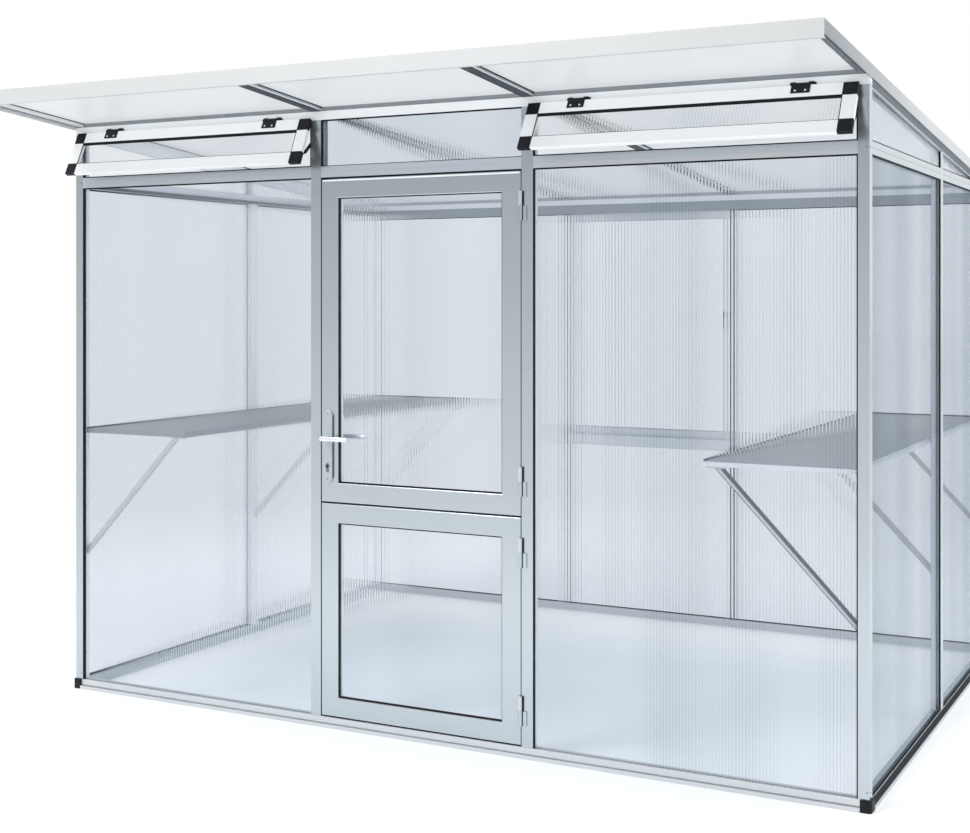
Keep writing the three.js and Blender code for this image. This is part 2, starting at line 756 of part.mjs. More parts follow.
// Framed leaf or sash: outer face at y0, with a groove that holds its pane
function framed({ x0, x1, y0, y1, z0, z1, stile, rail, paneY }) {
  const opening = slab(
    x0 + stile, x1 - stile, y0 - cutOverrun, y1 + cutOverrun, z0 + rail, z1 - rail,
  );
  const groove = slab(
    x0 + stile - grooveDepth, x1 - stile + grooveDepth, paneY - paneFit,
    paneY + paneThickness + paneFit, z0 + rail - grooveDepth, z1 - rail + grooveDepth,
  );
  const pane = slab(
    x0 + stile - paneEntry, x1 - stile + paneEntry, paneY, paneY + paneThickness,
    z0 + rail - paneEntry, z1 - rail + paneEntry,
  );
  return { body: slab(x0, x1, y0, y1, z0, z1), opening, groove, pane };
}

const leafLeft = doorClearLeft + doorGap;
const leafRight = doorClearRight - doorGap;
const spindleX = leafLeft + plateEdgeInset + plateWidth / 2;

function doorLeaf(z0, z1) {
  return framed({
    x0: leafLeft, x1: leafRight, y0: 0, y1: leafDepth, z0, z1,
    stile: leafStile, rail: leafRail, paneY: paneSetback,
  });
}

function leafKnuckles(starts) {
  return starts.flatMap((z) => doorKnuckle(doorAxisX, z + halfKnuckle + hingeKnuckleGap, halfKnuckle, -1));
}

// Post knuckles sit beside the leaf, so the leaf keeps clear of them
function addDoorLeaves() {
  const lower = doorLeaf(doorBottom, lowerLeafTop);
  const lowerFrame = shaped(lower.body, {
    added: leafKnuckles(knuckleStarts.slice(0, 2)), removed: [lower.opening, lower.groove],
  });
  addPiece(frontWall, 'door_lower_frame', lowerFrame, aluminium);
  addPiece(frontWall, 'door_lower_pane', lower.pane, clearSheet);
  const upper = doorLeaf(upperLeafBottom, doorTop);
  const bore = new THREE.CylinderGeometry(
    spindleRadius + spindleFit, spindleRadius + spindleFit, leafDepth + 2 * cutOverrun, leafSegments,
  ).translate(spindleX, leafDepth / 2, leverHeight);
  const latchZ = leverHeight + latchRise;
  const channel = slab(
    leafLeft - cutOverrun, leafLeft + latchLength + latchTravel,
    paneSetback - latchFit, paneSetback + latchThickness + latchFit,
    latchZ - latchFit, latchZ + latchTall + latchFit,
  );
  const upperFrame = shaped(upper.body, {
    added: leafKnuckles(knuckleStarts.slice(2)),
    removed: [upper.opening, upper.groove, bore, channel],
  });
  addPiece(frontWall, 'door_upper_frame', upperFrame, aluminium);
  addPiece(frontWall, 'door_upper_pane', upper.pane, clearSheet);
}

function addLatch() {
  const z = leverHeight + latchRise;
  const tip = leafLeft - doorGap - latchThrow + runGap;
  const bevelStart = leafLeft - doorGap;
  const backY = paneSetback + latchThickness;
  const plan = outline([
    [bevelStart, paneSetback], [tip + latchLength, paneSetback], [tip + latchLength, backY],
    [tip, backY], [tip, backY - latchThickness / 4],
  ]);
  addPiece(frontWall, 'latch_bolt', extruded(plan, latchTall), polishedSteel, 0, 0, z);
}

// Long plate with round ends and a raised keyhole cylinder; side is -1 outside and 1 inside
function handlePlate(side) {
  const half = plateWidth / 2;
  const straight = plateLength / 2 - half;
  const plateShape = new THREE.Shape();
  plateShape.absarc(0, straight, half, 0, Math.PI, false);
  plateShape.absarc(0, -straight, half, Math.PI, 2 * Math.PI, false);
  const spindleHole = new THREE.Path();
  const rise = leverHeight - plateCentreHeight;
  spindleHole.absarc(0, rise, spindleRadius + spindleFit, 0, 2 * Math.PI, true);
  plateShape.holes.push(spindleHole);
  const plate = alongY(plateShape, plateThickness, leafSegments);
  const barrelShape = new THREE.Shape();
  const barrelTop = rise - cylinderDrop;
  barrelShape.absarc(0, barrelTop, cylinderRadius, -Math.PI / 4, 5 * Math.PI / 4, false);
  barrelShape.lineTo(-cylinderWidth / 2, barrelTop + cylinderRadius - cylinderTall);
  barrelShape.lineTo(cylinderWidth / 2, barrelTop + cylinderRadius - cylinderTall);
  const barrelStart = side < 0 ? -cylinderProud : cylinderProud;
  const barrel = alongY(barrelShape, plateThickness, leafSegments).translate(0, barrelStart, 0);
  return shaped(plate, { added: [barrel] });
}

function leverArm(side) {
  const start = side < 0 ? -plateThickness - 2 * seatGap : leafDepth + plateThickness + 2 * seatGap;
  const armFace = start + side * (neckLength - leverThickness);
  const neck = new THREE.CylinderGeometry(neckRadius, neckRadius, neckLength, leafSegments);
  neck.translate(0, start + side * neckLength / 2, 0);
  const grip = new THREE.Shape();
  const half = leverTall / 2;
  grip.absarc(leverLength - half, 0, half, -Math.PI / 2, Math.PI / 2, false);
  grip.absarc(0, 0, half, Math.PI / 2, 3 * Math.PI / 2, false);
  const arm = alongY(grip, leverThickness, leafSegments);
  arm.translate(0, side < 0 ? armFace - leverThickness : armFace, 0);
  return [neck, arm];
}

function addDoorFurniture() {
  const outerY = -plateThickness - seatGap;
  addPiece(frontWall, 'handle_plate_outer', handlePlate(-1), polishedSteel, spindleX, outerY, plateCentreHeight);
  const innerY = leafDepth + seatGap;
  addPiece(frontWall, 'handle_plate_inner', handlePlate(1), polishedSteel, spindleX, innerY, plateCentreHeight);
  const reach = leafDepth + 2 * (plateThickness + neckLength / 2);
  const spindle = new THREE.CylinderGeometry(spindleRadius, spindleRadius, reach, leafSegments);
  spindle.translate(0, leafDepth / 2, 0);
  const lever = shaped(spindle, { added: [...leverArm(-1), ...leverArm(1)] });
  addPiece(frontWall, 'door_lever', lever, polishedSteel, spindleX, 0, leverHeight);
  addLatch();
}

// Sash in its own frame: hinge edge on the x axis line, closed, hanging down, outer face towards -y
function sash(width, height) {
  const inner = hingeAxisOut - sashFaceGap;
  const lip = (sashThickness - paneThickness) / 2;
  return framed({
    x0: 0, x1: width, y0: inner - sashThickness, y1: inner, z0: -hingeClear - height, z1: -hingeClear,
    stile: sashRail, rail: sashRail, paneY: inner - sashThickness + lip,
  });
}

function sashKnuckle(x) {
  const barrel = new THREE.CylinderGeometry(hingeRadius, hingeRadius, hingeKnuckle, leafSegments);
  barrel.rotateZ(Math.PI / 2).translate(x, 0, 0);
  const half = hingeKnuckle / 2;
  const strap = slab(x - half, x + half, -hingeRadius, 0, -hingeClear - hingeRadius, 0);
  return [barrel, strap];
}

function addVent(side, span, openDeg) {
  const [x0, x1] = span;
  const width = x1 - x0;
  const vent = addGroup(frontWall, x0, -hingeAxisOut, ventAxisHeight);
  vent.rotation.x = -THREE.MathUtils.degToRad(openDeg);
  const parts = sash(width, ventSashHeight);
  const knuckles = ventHingeCentres(0, width).flatMap(sashKnuckle);
  const inner = hingeAxisOut - sashFaceGap;
  const stayFace = width - sashLap - runGap - stayThickness;
  const lug = slab(
    stayFace - seatGap - lugWidth, stayFace - seatGap, inner - cutOverrun, inner + lugReach,
    -lugDrop - lugHeight / 2, -lugDrop + lugHeight / 2,
  );
  const frame = shaped(parts.body, {
    added: [...knuckles, lug], removed: [parts.opening, parts.groove],
  });
  addPiece(vent, `vent_frame_${side}`, frame, whiteAluminium);
  addPiece(vent, `vent_pane_${side}`, parts.pane, clearSheet);
  addStay(side, x0 + stayFace, openDeg);
}

// Stay arm hangs from its pin in the post, turned out to meet the lug on the open sash
function addStay(side, faceX, openDeg) {
  const open = THREE.MathUtils.degToRad(openDeg);
  const lugY = hingeAxisOut - sashFaceGap + lugReach - lugWidth / 2;
  const lugWorldY = -hingeAxisOut + lugY * Math.cos(open) - lugDrop * Math.sin(open);
  const lugWorldZ = ventAxisHeight - lugY * Math.sin(open) - lugDrop * Math.cos(open);
  const swing = Math.atan2(stayPivotBack - lugWorldY, stayPivotHeight - lugWorldZ);
  const stay = addGroup(frontWall, faceX, stayPivotBack, stayPivotHeight);
  stay.rotation.x = -swing;
  const half = stayWidth / 2;
  const armShape = new THREE.Shape();
  armShape.absarc(0, 0, half, 0, Math.PI, false);
  armShape.absarc(0, half - stayLength, half, Math.PI, 2 * Math.PI, false);
  const arm = alongX(armShape, stayThickness, leafSegments / 2);
  const pinLength = stayPinLength + runGap + cutOverrun;
  const pin = new THREE.CylinderGeometry(stayPinRadius, stayPinRadius, pinLength, leafSegments);
  pin.rotateZ(Math.PI / 2).translate(stayThickness - cutOverrun + pinLength / 2, 0, 0);
  addPiece(stay, `vent_stay_${side}`, shaped(arm, { added: [pin] }), blackPlastic);
}

const windowBottom = midRailBottom + midRailHeight - sashLap;
const windowTop = rearHeadBottom + sashLap;
const windowWidth = doorClearRight - doorClearLeft + 2 * sashLap;

function windowHingeHeights() {
  const inset = (windowTop - windowBottom) * windowHingeInsetShare;
  return [windowBottom + inset, windowTop - inset];
}

// Window knuckles that stay on the mullion, in the rear wall's frame
function windowEars() {
  const axisX = doorClearRight + sashLap + hingeClear;
  const ears = [];
  for (const z of windowHingeHeights()) {
    for (const side of [-1, 1]) {
      const near = z + side * (hingeKnuckle / 2 + hingeKnuckleGap);
      const far = near + side * hingeEar;
      const barrel = new THREE.CylinderGeometry(hingeRadius, hingeRadius, hingeEar, leafSegments);
      barrel.rotateX(Math.PI / 2).translate(axisX, -hingeAxisOut, (near + far) / 2);
      ears.push(barrel);
      const earEnd = axisX + 2 * hingeRadius;
      ears.push(slab(axisX, earEnd, -hingeAxisOut, cutOverrun, Math.min(near, far), Math.max(near, far)));
    }
  }
  return ears;
}

// The window is the same sash turned on its side, hinged at its left edge seen from the front
function addWindow() {
  const height = windowTop - windowBottom;
  const axisX = doorClearRight + sashLap + hingeClear;
  const sashGroup = addGroup(rearWall, axisX, -hingeAxisOut, windowBottom);
  const inner = hingeAxisOut - sashFaceGap;
  const lip = (sashThickness - paneThickness) / 2;
  const right = -hingeClear;
  const left = right - windowWidth;
  const parts = framed({
    x0: left, x1: right, y0: inner - sashThickness, y1: inner, z0: 0, z1: height,
    stile: sashRail, rail: sashRail, paneY: inner - sashThickness + lip,
  });
  const knuckles = windowHingeHeights().flatMap((level) => {
    const z = level - windowBottom;
    const half = hingeKnuckle / 2;
    const barrel = new THREE.CylinderGeometry(hingeRadius, hingeRadius, hingeKnuckle, leafSegments);
    const strap = slab(-hingeClear - hingeRadius, 0, -hingeRadius, 0, z - half, z + half);
    return [barrel.rotateX(Math.PI / 2).translate(0, 0, z), strap];
  });
  const pivotX = left + (sashLap + sashRail) / 2;
  const pivotZ = winHandleHeight - windowBottom;
  const boreRadius = winSpindleRadius + spindleFit;
  const bore = new THREE.CylinderGeometry(
    boreRadius, boreRadius, sashThickness + 2 * cutOverrun, leafSegments,
  ).translate(pivotX, inner - sashThickness / 2, pivotZ);
  const frame = shaped(parts.body, { added: knuckles, removed: [parts.opening, parts.groove, bore] });
  addPiece(sashGroup, 'window_frame', frame, whiteAluminium);
  addPiece(sashGroup, 'window_pane', parts.pane, clearSheet);
  const handle = windowHandle();
  addPiece(sashGroup, 'window_handle', handle, blackPlastic, pivotX, inner, pivotZ);
}

// Handle with its rose and the spindle that passes through the sash rail
function windowHandle() {
  const rose = new THREE.CylinderGeometry(
    winPlateWidth / 2, winPlateWidth / 2, winPlateThickness, leafSegments,
  ).translate(0, seatGap + winPlateThickness / 2, 0);
  const spindleLength = sashThickness + winPlateThickness;
  const spindle = new THREE.CylinderGeometry(
    winSpindleRadius, winSpindleRadius, spindleLength, leafSegments,
  ).translate(0, winPlateThickness - spindleLength / 2, 0);
  const neckEnd = seatGap + winPlateThickness + winNeckLength;
  const neck = slab(-winGripWidth / 2, winGripWidth / 2, winPlateThickness / 2, neckEnd,
    -winGripWidth / 2, winGripWidth / 2);
  const half = winGripWidth / 2;
  const gripShape = new THREE.Shape();
  gripShape.absarc(0, 0, half, 0, Math.PI, false);
  gripShape.absarc(0, half - winGripLength, half, Math.PI, 2 * Math.PI, false);
  const grip = alongY(gripShape, winGripThickness, leafSegments / 2);
  grip.translate(0, neckEnd - cutOverrun, 0);
  return shaped(spindle, { added: [rose, neck, grip] });
}

addSills();
addCornerPosts();
addDoorPosts();
addHeadRails();
addTopRail();
addRearRails();
addMullions();
addRafters();
addRoofSheets();
addEaves();
addWallPanes();
addGablePanes();
addShelves();
addDoorLeaves();
addDoorFurniture();
addVent('left', leftVentSpan, leftVentOpenDeg);
addVent('right', rightVentSpan, rightVentOpenDeg);
addWindow();

// Origin: the middle of the roof's plan, on the ground
greenhouse.position.set(-wallWidth / 2, (frontOverhang - wallDepth - rearOverhang) / 2, 0);
const model = new THREE.Group();
model.add(greenhouse);

export default model;
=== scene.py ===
import math

import bmesh
import bpy
from mathutils import Matrix, Vector


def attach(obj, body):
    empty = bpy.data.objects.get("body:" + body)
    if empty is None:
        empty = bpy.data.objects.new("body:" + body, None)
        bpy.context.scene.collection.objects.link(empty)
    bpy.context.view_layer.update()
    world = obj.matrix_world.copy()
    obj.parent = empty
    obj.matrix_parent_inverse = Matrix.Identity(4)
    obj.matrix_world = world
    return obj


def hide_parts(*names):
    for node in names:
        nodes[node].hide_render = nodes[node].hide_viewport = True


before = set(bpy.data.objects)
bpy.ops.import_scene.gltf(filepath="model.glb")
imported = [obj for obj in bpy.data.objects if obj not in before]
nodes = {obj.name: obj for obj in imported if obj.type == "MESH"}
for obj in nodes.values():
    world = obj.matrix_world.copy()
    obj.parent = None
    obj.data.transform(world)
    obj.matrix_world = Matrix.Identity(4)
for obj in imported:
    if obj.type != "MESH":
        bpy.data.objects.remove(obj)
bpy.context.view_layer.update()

# Wall millimetres: x from the left wall's outer face, y in from the front wall's face, z up
WALL_WIDTH = 3128
WALL_DEPTH = 2260
PLAN_CENTRE = Vector((1564, 890, 0))
ROOF_FALL = 194.4 / 2260
ROOF_BASE = 2217.8
BAR = 36
CORNER = 35
POST = 42
DOOR_POST_LEFT = 1119
DOOR_LEFT = 1161
DOOR_RIGHT = 1967
HEAD_BOTTOM = 1978
HEAD_TOP = 2018
TOP_RAIL_BOTTOM = 2186
SILL_TOP = 38
REVEAL = 7.8
TO_FRAME = Matrix.Scale(0.001, 4) @ Matrix.Translation(-PLAN_CENTRE)


# Materials

def sums(operation, reflected=False):
    """Method of a wire that adds one maths node to its graph"""
    def method(wire, *others):
        values = (*others, wire) if reflected else (wire, *others)
        return wire.graph.node("ShaderNodeMath", {"operation": operation}, dict(enumerate(values)))
    return method


class Wire:
    """A socket in a material that sums are written on"""

    def __init__(self, graph, socket):
        self.graph = graph
        self.socket = socket

    __add__ = sums("ADD")
    __radd__ = sums("ADD", reflected=True)
    __sub__ = sums("SUBTRACT")
    __rsub__ = sums("SUBTRACT", reflected=True)
    __mul__ = sums("MULTIPLY")
    __rmul__ = sums("MULTIPLY", reflected=True)
    __truediv__ = sums("DIVIDE")
    __pow__ = sums("POWER")
    __lt__ = sums("LESS_THAN")
    __gt__ = sums("GREATER_THAN")
    fract = sums("FRACT")
    floor = sums("FLOOR")
    least = sums("MINIMUM")
    most = sums("MAXIMUM")
    magnitude = sums("ABSOLUTE")

    def clamped(self):
        return self.most(0.0).least(1.0)


class Graph:
    """A node tree, and the few calls that the finishes and the world are written with"""

    def __init__(self, tree):
        self.tree = tree
        self.tree.nodes.clear()

    def node(self, kind, settings=None, inputs=None, output=0):
        made = self.tree.nodes.new(kind)
        for key, value in (settings or {}).items():
            setattr(made, key, value)
        for key, value in (inputs or {}).items():
            self.join(made.inputs[key], value)
        return Wire(self, made.outputs[output])

    def join(self, socket, value):
        if isinstance(value, Wire):
            self.tree.links.new(value.socket, socket)
        else:
            socket.default_value = value

    def end(self, kind, surface):
        """Joins the last shader to the output"""
        out = self.tree.nodes.new(kind)
        self.join(out.inputs["Surface"], surface)

    def ramp(self, amount, stops):
        """Colour that changes along the given places"""
        made = self.node("ShaderNodeValToRGB", None, {0: amount})
        elements = made.socket.node.color_ramp.elements
        while len(elements) < len(stops):
            elements.new(0.5)
        for element, (position, colour) in zip(elements, stops):
            element.position = position
            element.color = colour
        return made

    def place(self):
        """Metres on the piece itself, as x, y and z"""
        here = self.node("ShaderNodeTexCoord", output="Object")
        parts = self.node("ShaderNodeSeparateXYZ", None, {0: here}).socket.node
        return here, [Wire(self, parts.outputs[i]) for i in range(3)]

    def stretched(self, here, scale):
        return self.node("ShaderNodeMapping", None, {"Vector": here, "Scale": scale})

    def noise(self, here, scale, detail=3.0):
        return self.node("ShaderNodeTexNoise", None, {"Vector": here, "Scale": scale, "Detail": detail})

    def blend(self, amount, first, second):
        settings = {"data_type": "RGBA"}
        wants = {0: amount, 6: first, 7: second}
        return self.node("ShaderNodeMix", settings, wants, output=2)

    def bump(self, height, distance, strength):
        wants = {"Height": height, "Distance": distance, "Strength": strength}
        return self.node("ShaderNodeBump", None, wants)

    def principled(self, **sockets):
        wants = {key.replace("_", " "): value for key, value in sockets.items()}
        return self.node("ShaderNodeBsdfPrincipled", None, wants)


class Finish(Graph):
    """A material in the making"""

    def __init__(self, name):
        self.material = bpy.data.materials.new(name)
        self.material.use_nodes = True
        super().__init__(self.material.node_tree)

    def finish(self, surface):
        self.end("ShaderNodeOutputMaterial", surface)
        return self.material


def rgb(red, green, blue):
    """Colour as it looks on a screen, 0 to 255, made linear"""
    def linear(level):
        share = level / 255
        return share / 12.92 if share <= 0.04045 else ((share + 0.055) / 1.055) ** 2.4
    return (linear(red), linear(green), linear(blue), 1)


FINE_BUMP = 0.00001
LINES_ACROSS = 700.0
LINES_ALONG = 2.0


def drawn(name, light, dark, roughness, metallic, along):
    """Bar drawn through a die: fine lines along it, soft clouding and a faint grain"""
    made = Finish(name)
    here, _ = made.place()
    across = [LINES_ACROSS] * 3
    across["XYZ".index(along)] = LINES_ALONG
    lines = made.noise(made.stretched(here, across), 1.0, 2.0)
    clouds = made.noise(here, 3.0, 4.0)
    grain = made.noise(here, 900.0, 2.0)
    tone = lines * 0.1 + clouds * 0.75 + grain * 0.15
    return made.finish(made.principled(
        Base_Color=made.blend(tone, rgb(*dark), rgb(*light)), Metallic=metallic,
        Roughness=roughness - 0.03 + clouds * 0.06,
        Normal=made.bump(lines * 0.4 + grain * 0.6, FINE_BUMP, 0.1),
    ))


def verge_aluminium(name, front, rear):
    """Roof edge bar whose tone lightens from the front tip to the rear: painted shade, darkest at the front
    tip
    """
    made = Finish(name)
    here, axes = made.place()
    front_tip, run = -1.43, 1.5
    # Painted shade: darker towards the front tip over the overhang
    back = ((axes[1] - front_tip) / run).clamped()
    clouds = made.noise(here, 3.0)
    colour = made.blend((back + clouds * 0.1).least(1.0), rgb(*front), rgb(*rear))
    return made.finish(made.principled(Base_Color=colour, Metallic=0.35, Roughness=0.32 + clouds * 0.05))


def inside_white(name):
    """Bar that is bright on its inner faces and has the tone of the other uprights outside"""
    made = Finish(name)
    here, axes = made.place()
    facing = made.node("ShaderNodeNewGeometry", output="True Normal")
    sideways = made.node("ShaderNodeSeparateXYZ", None, {0: facing}, output=0)
    rearwards = made.node("ShaderNodeSeparateXYZ", None, {0: facing}, output=1)
    which_half = (axes[0] > 0) * 2 - 1
    outside = ((sideways * which_half > 0.5) + (rearwards > 0.5)).least(1.0)
    clouds = made.noise(here, 4.0)
    inner = made.blend(clouds, rgb(*WHITE_LIGHT), rgb(*WHITE_DARK))
    outer = made.blend(clouds, rgb(*LIGHT_BAR), rgb(*DARK_BAR))
    return made.finish(made.principled(
        Base_Color=made.blend(outside, inner, outer), Metallic=0.1 + outside * 0.75,
        Roughness=0.35 - outside * 0.11,
    ))


def moulded(name, light, dark, roughness):
    """Moulded plastic or rubber with a fine grain"""
    made = Finish(name)
    here, _ = made.place()
    grain = made.noise(here, 1400.0, 2.0)
    colour = made.blend(made.noise(here, 25.0), rgb(*dark), rgb(*light))
    return made.finish(made.principled(
        Base_Color=colour, Roughness=roughness + grain * 0.12,
        Specular_IOR_Level=0.25, Normal=made.bump(grain, 0.0001, 0.4),
    ))


def polished(name, light, dark):
    """Steel with a faint upright brushing"""
    made = Finish(name)
    here, _ = made.place()
    brushed = made.noise(made.stretched(here, (900.0, 900.0, 12.0)), 1.0, 2.0)
    return made.finish(made.principled(
        Base_Color=made.blend(made.noise(here, 30.0), rgb(*dark), rgb(*light)), Metallic=0.75,
        Roughness=0.26 + brushed * 0.06, Normal=made.bump(brushed, FINE_BUMP, 0.2),
    ))


# Metres and slopes of the twin-wall sheet's cells
RIB_PITCH = 0.011
WEB_START = 0.68
WEB_SLOPE = 0.13
WEB_CURVE = 0.3
WEB_SCATTER = 0.03
CELL_CURVE = 0.022
LINE_START = 0.62
BOW_CENTRE = 2.61
EYE_LEVEL = 1.544
SHEET_IOR = 1.35
LINES_FROM, BEND_FROM, COME_IN = 0.2, -0.55, 0.3
LEAST_BENT, MORE_BENT = 0.6, 0.27
LOW_PART = 0.7


def squared(colour):
    """Principled passes on the square root of its colour, so matching the sheet takes the square"""
    return (colour[0] ** 2, colour[1] ** 2, colour[2] ** 2, 1)


def ribbed_sheet(name, across, outwards, clear, tint, glancing_tint, bow=0.0, lean=0.0, clearness=1.0):
    """Clear twin-wall sheet, whose small cells each bend the view a little, and more at the webs

    outwards is the side of the outer skin, which bends the view, as a signed axis; bow and lean
    are the sheet's own curve and slope, and clearness is how much is seen through the bent cells
    """
    made = Finish(name)
    here, axes = made.place()
    along = axes["XYZ".index(across)]
    run = along / RIB_PITCH
    each = made.node("ShaderNodeTexWhiteNoise", {"noise_dimensions": "1D"}, {"W": run.floor()})
    from_middle = ((run.fract() - 0.5) * 2).magnitude()
    web = (from_middle - WEB_START).most(0.0)
    at_web = web * (each * WEB_SCATTER + WEB_SLOPE) + web * web * WEB_CURVE
    cell = from_middle * from_middle * (each * CELL_CURVE + CELL_CURVE) + at_web
    aside = along - BOW_CENTRE
    upwards = axes[2] - EYE_LEVEL
    curve = (aside * aside + upwards * upwards) * bow + upwards * lean
    normal = made.bump(cell * (RIB_PITCH / 2) + curve, 1.0, 1.0)
    facing = made.node("ShaderNodeNewGeometry", output="True Normal")
    sides = made.node("ShaderNodeSeparateXYZ", None, {0: facing}, output="XYZ".index(outwards[1]))
    on_outer = sides * (1 if outwards[0] == "+" else -1) > 0.5
    streaks = made.noise(made.stretched(here, (3.2, 3.2, 0.12)), 1.0, 2.0)
    bands = made.noise(made.stretched(here, (3.6, 3.6, 0.1)), 1.0, 1.0)
    lined = ((along - LINES_FROM) / COME_IN).clamped() * 0.7 + 0.3
    fine_lines = ((bands - 0.40) * 3).most(0.0).least(0.8) * (from_middle > LINE_START) * lined
    edge_on = made.node("ShaderNodeLayerWeight", None, {"Blend": 0.5}, output=1) ** 3.0
    low_down = 1 - (axes[2] / LOW_PART).clamped()
    glancing = (edge_on * (streaks * 1.6 - 0.12) * (1 - low_down * 0.3)).clamped()
    colour = made.blend(glancing, made.blend(streaks, clear, tint), glancing_tint)
    through = made.node("ShaderNodeBsdfTransparent", None, {"Color": colour})
    rib_clear = made.blend(fine_lines, squared(clear), squared(RIB_SHADE))
    bent = made.principled(
        Base_Color=made.blend(glancing, rib_clear, squared(glancing_tint)), Roughness=0.0, IOR=SHEET_IOR,
        Transmission_Weight=1.0, Specular_IOR_Level=0.1, Normal=normal,
    )
    most_bent = ((along - BEND_FROM) / COME_IN).clamped()
    amount = on_outer * (most_bent * MORE_BENT + LEAST_BENT) * clearness
    return made.finish(made.node("ShaderNodeMixShader", None, {0: amount, 1: through, 2: bent}))


OPAL_RIB_PITCH = 0.016
OPAL_RIB_SHARE = 0.06


def opal_sheet(name, light, dark, passed):
    """White roof sheet: it scatters light back, lets some through, and glows with its own colour as painted
    light
    """
    made = Finish(name)
    here, axes = made.place()
    rib = ((axes[0] / OPAL_RIB_PITCH).fract() - 0.5).magnitude() < OPAL_RIB_SHARE
    clouds = made.noise(here, 1.2)
    colour = made.blend(clouds * 0.8 + rib * 0.2, rgb(*light), rgb(*dark))
    # The emission is painted light: the sheet glows with its own colour
    surface = made.principled(
        Base_Color=colour, Roughness=0.3, Emission_Color=colour, Emission_Strength=1.05,
        Normal=made.bump(rib, 0.0002, 0.3),
    )
    glow = made.node("ShaderNodeBsdfTranslucent", None, {"Color": passed})
    share = 0.46 + clouds * 0.06
    return made.finish(made.node("ShaderNodeMixShader", None, {0: share, 1: surface, 2: glow}))


LIGHT_BAR = (193, 202, 208)
DARK_BAR = (186, 196, 202)
WHITE_LIGHT = (249, 251, 252)
WHITE_DARK = (242, 245, 246)
upright_bar = drawn("drawn aluminium upright", LIGHT_BAR, DARK_BAR, 0.24, 0.85, "Z")
level_bar = drawn("drawn aluminium level", (211, 220, 228), (204, 213, 221), 0.3, 0.75, "X")
side_bar = drawn("drawn aluminium front to back", LIGHT_BAR, DARK_BAR, 0.26, 0.85, "Y")
pale_bar = drawn("pale aluminium", (244, 246, 248), (232, 236, 239), 0.4, 0.25, "X")
shelf_bar = drawn("shelf aluminium", (178, 184, 186), (168, 174, 177), 0.45, 0.5, "Y")
shelf_lip = drawn("shelf lip aluminium with painted light", (238, 240, 243), (228, 231, 234), 0.4, 0.3, "Y")
# Real white coat on the vent sashes and beads, and also painted highlights on the door leaf's top edge and
# the sills' inner feet
white_coat_and_highlight_bar = drawn("white coated aluminium and painted highlights", WHITE_LIGHT, WHITE_DARK, 0.35, 0.1, "X")
highlight_side_bar = drawn("painted highlight aluminium front to back", (236, 239, 241), (226, 230, 233), 0.4, 0.2, "Y")
window_bar = drawn("window aluminium", (236, 240, 243), (226, 231, 235), 0.4, 0.3, "Z")
brace_bar = drawn("brace aluminium", (214, 216, 216), (206, 208, 209), 0.4, 0.3, "Z")
plate_steel = drawn("satin steel", (180, 188, 196), (174, 183, 191), 0.4, 0.4, "Z")
inner_bar = drawn("inner aluminium", (234, 237, 240), (226, 230, 234), 0.35, 0.35, "Z")
deep_bar = drawn("deep shaded aluminium", (64, 71, 78), (54, 61, 68), 0.6, 0.1, "Y")
slot_bar = drawn("slot shade aluminium", (38, 44, 50), (30, 36, 41), 0.6, 0.1, "Z")
gable_shade_bar = drawn("gable painted shade aluminium", (94, 105, 112), (84, 95, 102), 0.6, 0.1, "Y")
gable_edge_bar = drawn("gable edge aluminium", (186, 194, 202), (178, 187, 196), 0.5, 0.1, "Y")
fascia_bar = drawn("fascia aluminium", (207, 209, 210), (200, 202, 203), 0.4, 0.3, "X")
shade_bar = drawn("shaded aluminium", (116, 123, 129), (100, 108, 114), 0.55, 0.15, "Y")
sill_bar = drawn("sill aluminium", (212, 216, 219), (204, 208, 212), 0.3, 0.6, "X")
rear_low_bar = drawn("rear rail aluminium", (184, 190, 195), (170, 177, 183), 0.4, 0.5, "X")
verge_bar = verge_aluminium("verge aluminium with painted shade", (122, 131, 138), (196, 200, 203))
black_part = moulded("black plastic", (17, 20, 27), (10, 12, 18), 0.42)
rubber = moulded("black rubber", (17, 21, 28), (9, 11, 16), 0.65)
seal_grey = moulded("grey seal strip", (150, 156, 160), (122, 129, 134), 0.5)
seal_pale = moulded("pale seal", (196, 201, 206), (188, 194, 199), 0.6)
steel = polished("polished steel", (206, 211, 217), (184, 190, 197))
shade_steel = polished("lock steel", (150, 157, 164), (130, 138, 146))
bright_steel = polished("bright steel", (240, 242, 244), (222, 226, 230))
SHEET_GLANCING = (0.70, 0.74, 0.78, 1)
RIB_SHADE = (0.70, 0.73, 0.76, 1)
SHEET_CLEAR = (0.918, 0.930, 0.948, 1)
SHEET_TINT = (0.905, 0.922, 0.938, 1)
VENT_CLEAR = (0.985, 0.985, 0.985, 1)
VENT_TINT = (0.965, 0.97, 0.97, 1)
SIDE_GLANCING = (0.56, 0.62, 0.67, 1)
FRONT_BOW = 0.111
SHEETS = {}
for wall, across, outwards, glancing_tint, bow, clearness in (
    ("front", "X", "-Y", SHEET_GLANCING, FRONT_BOW, 1.0), ("rear", "X", "+Y", SHEET_GLANCING, 0.0, 0.3),
    ("left", "Y", "-X", SHEET_GLANCING, 0.0, 0.2), ("right", "Y", "+X", SIDE_GLANCING, 0.0, 0.1),
):
    SHEETS[wall] = ribbed_sheet(
        f"clear sheet {wall}", across, outwards, SHEET_CLEAR, SHEET_TINT, glancing_tint, bow,
        clearness=clearness,
    )
GABLE_CLEAR = (0.945, 0.960, 0.975, 1)
GABLE_TINT = (0.920, 0.940, 0.958, 1)
GABLE_GLANCING = (0.90, 0.925, 0.95, 1)
gable_sheet = ribbed_sheet(
    "clear sheet gable", "Y", "+X", GABLE_CLEAR, GABLE_TINT, GABLE_GLANCING, clearness=0.45,
)
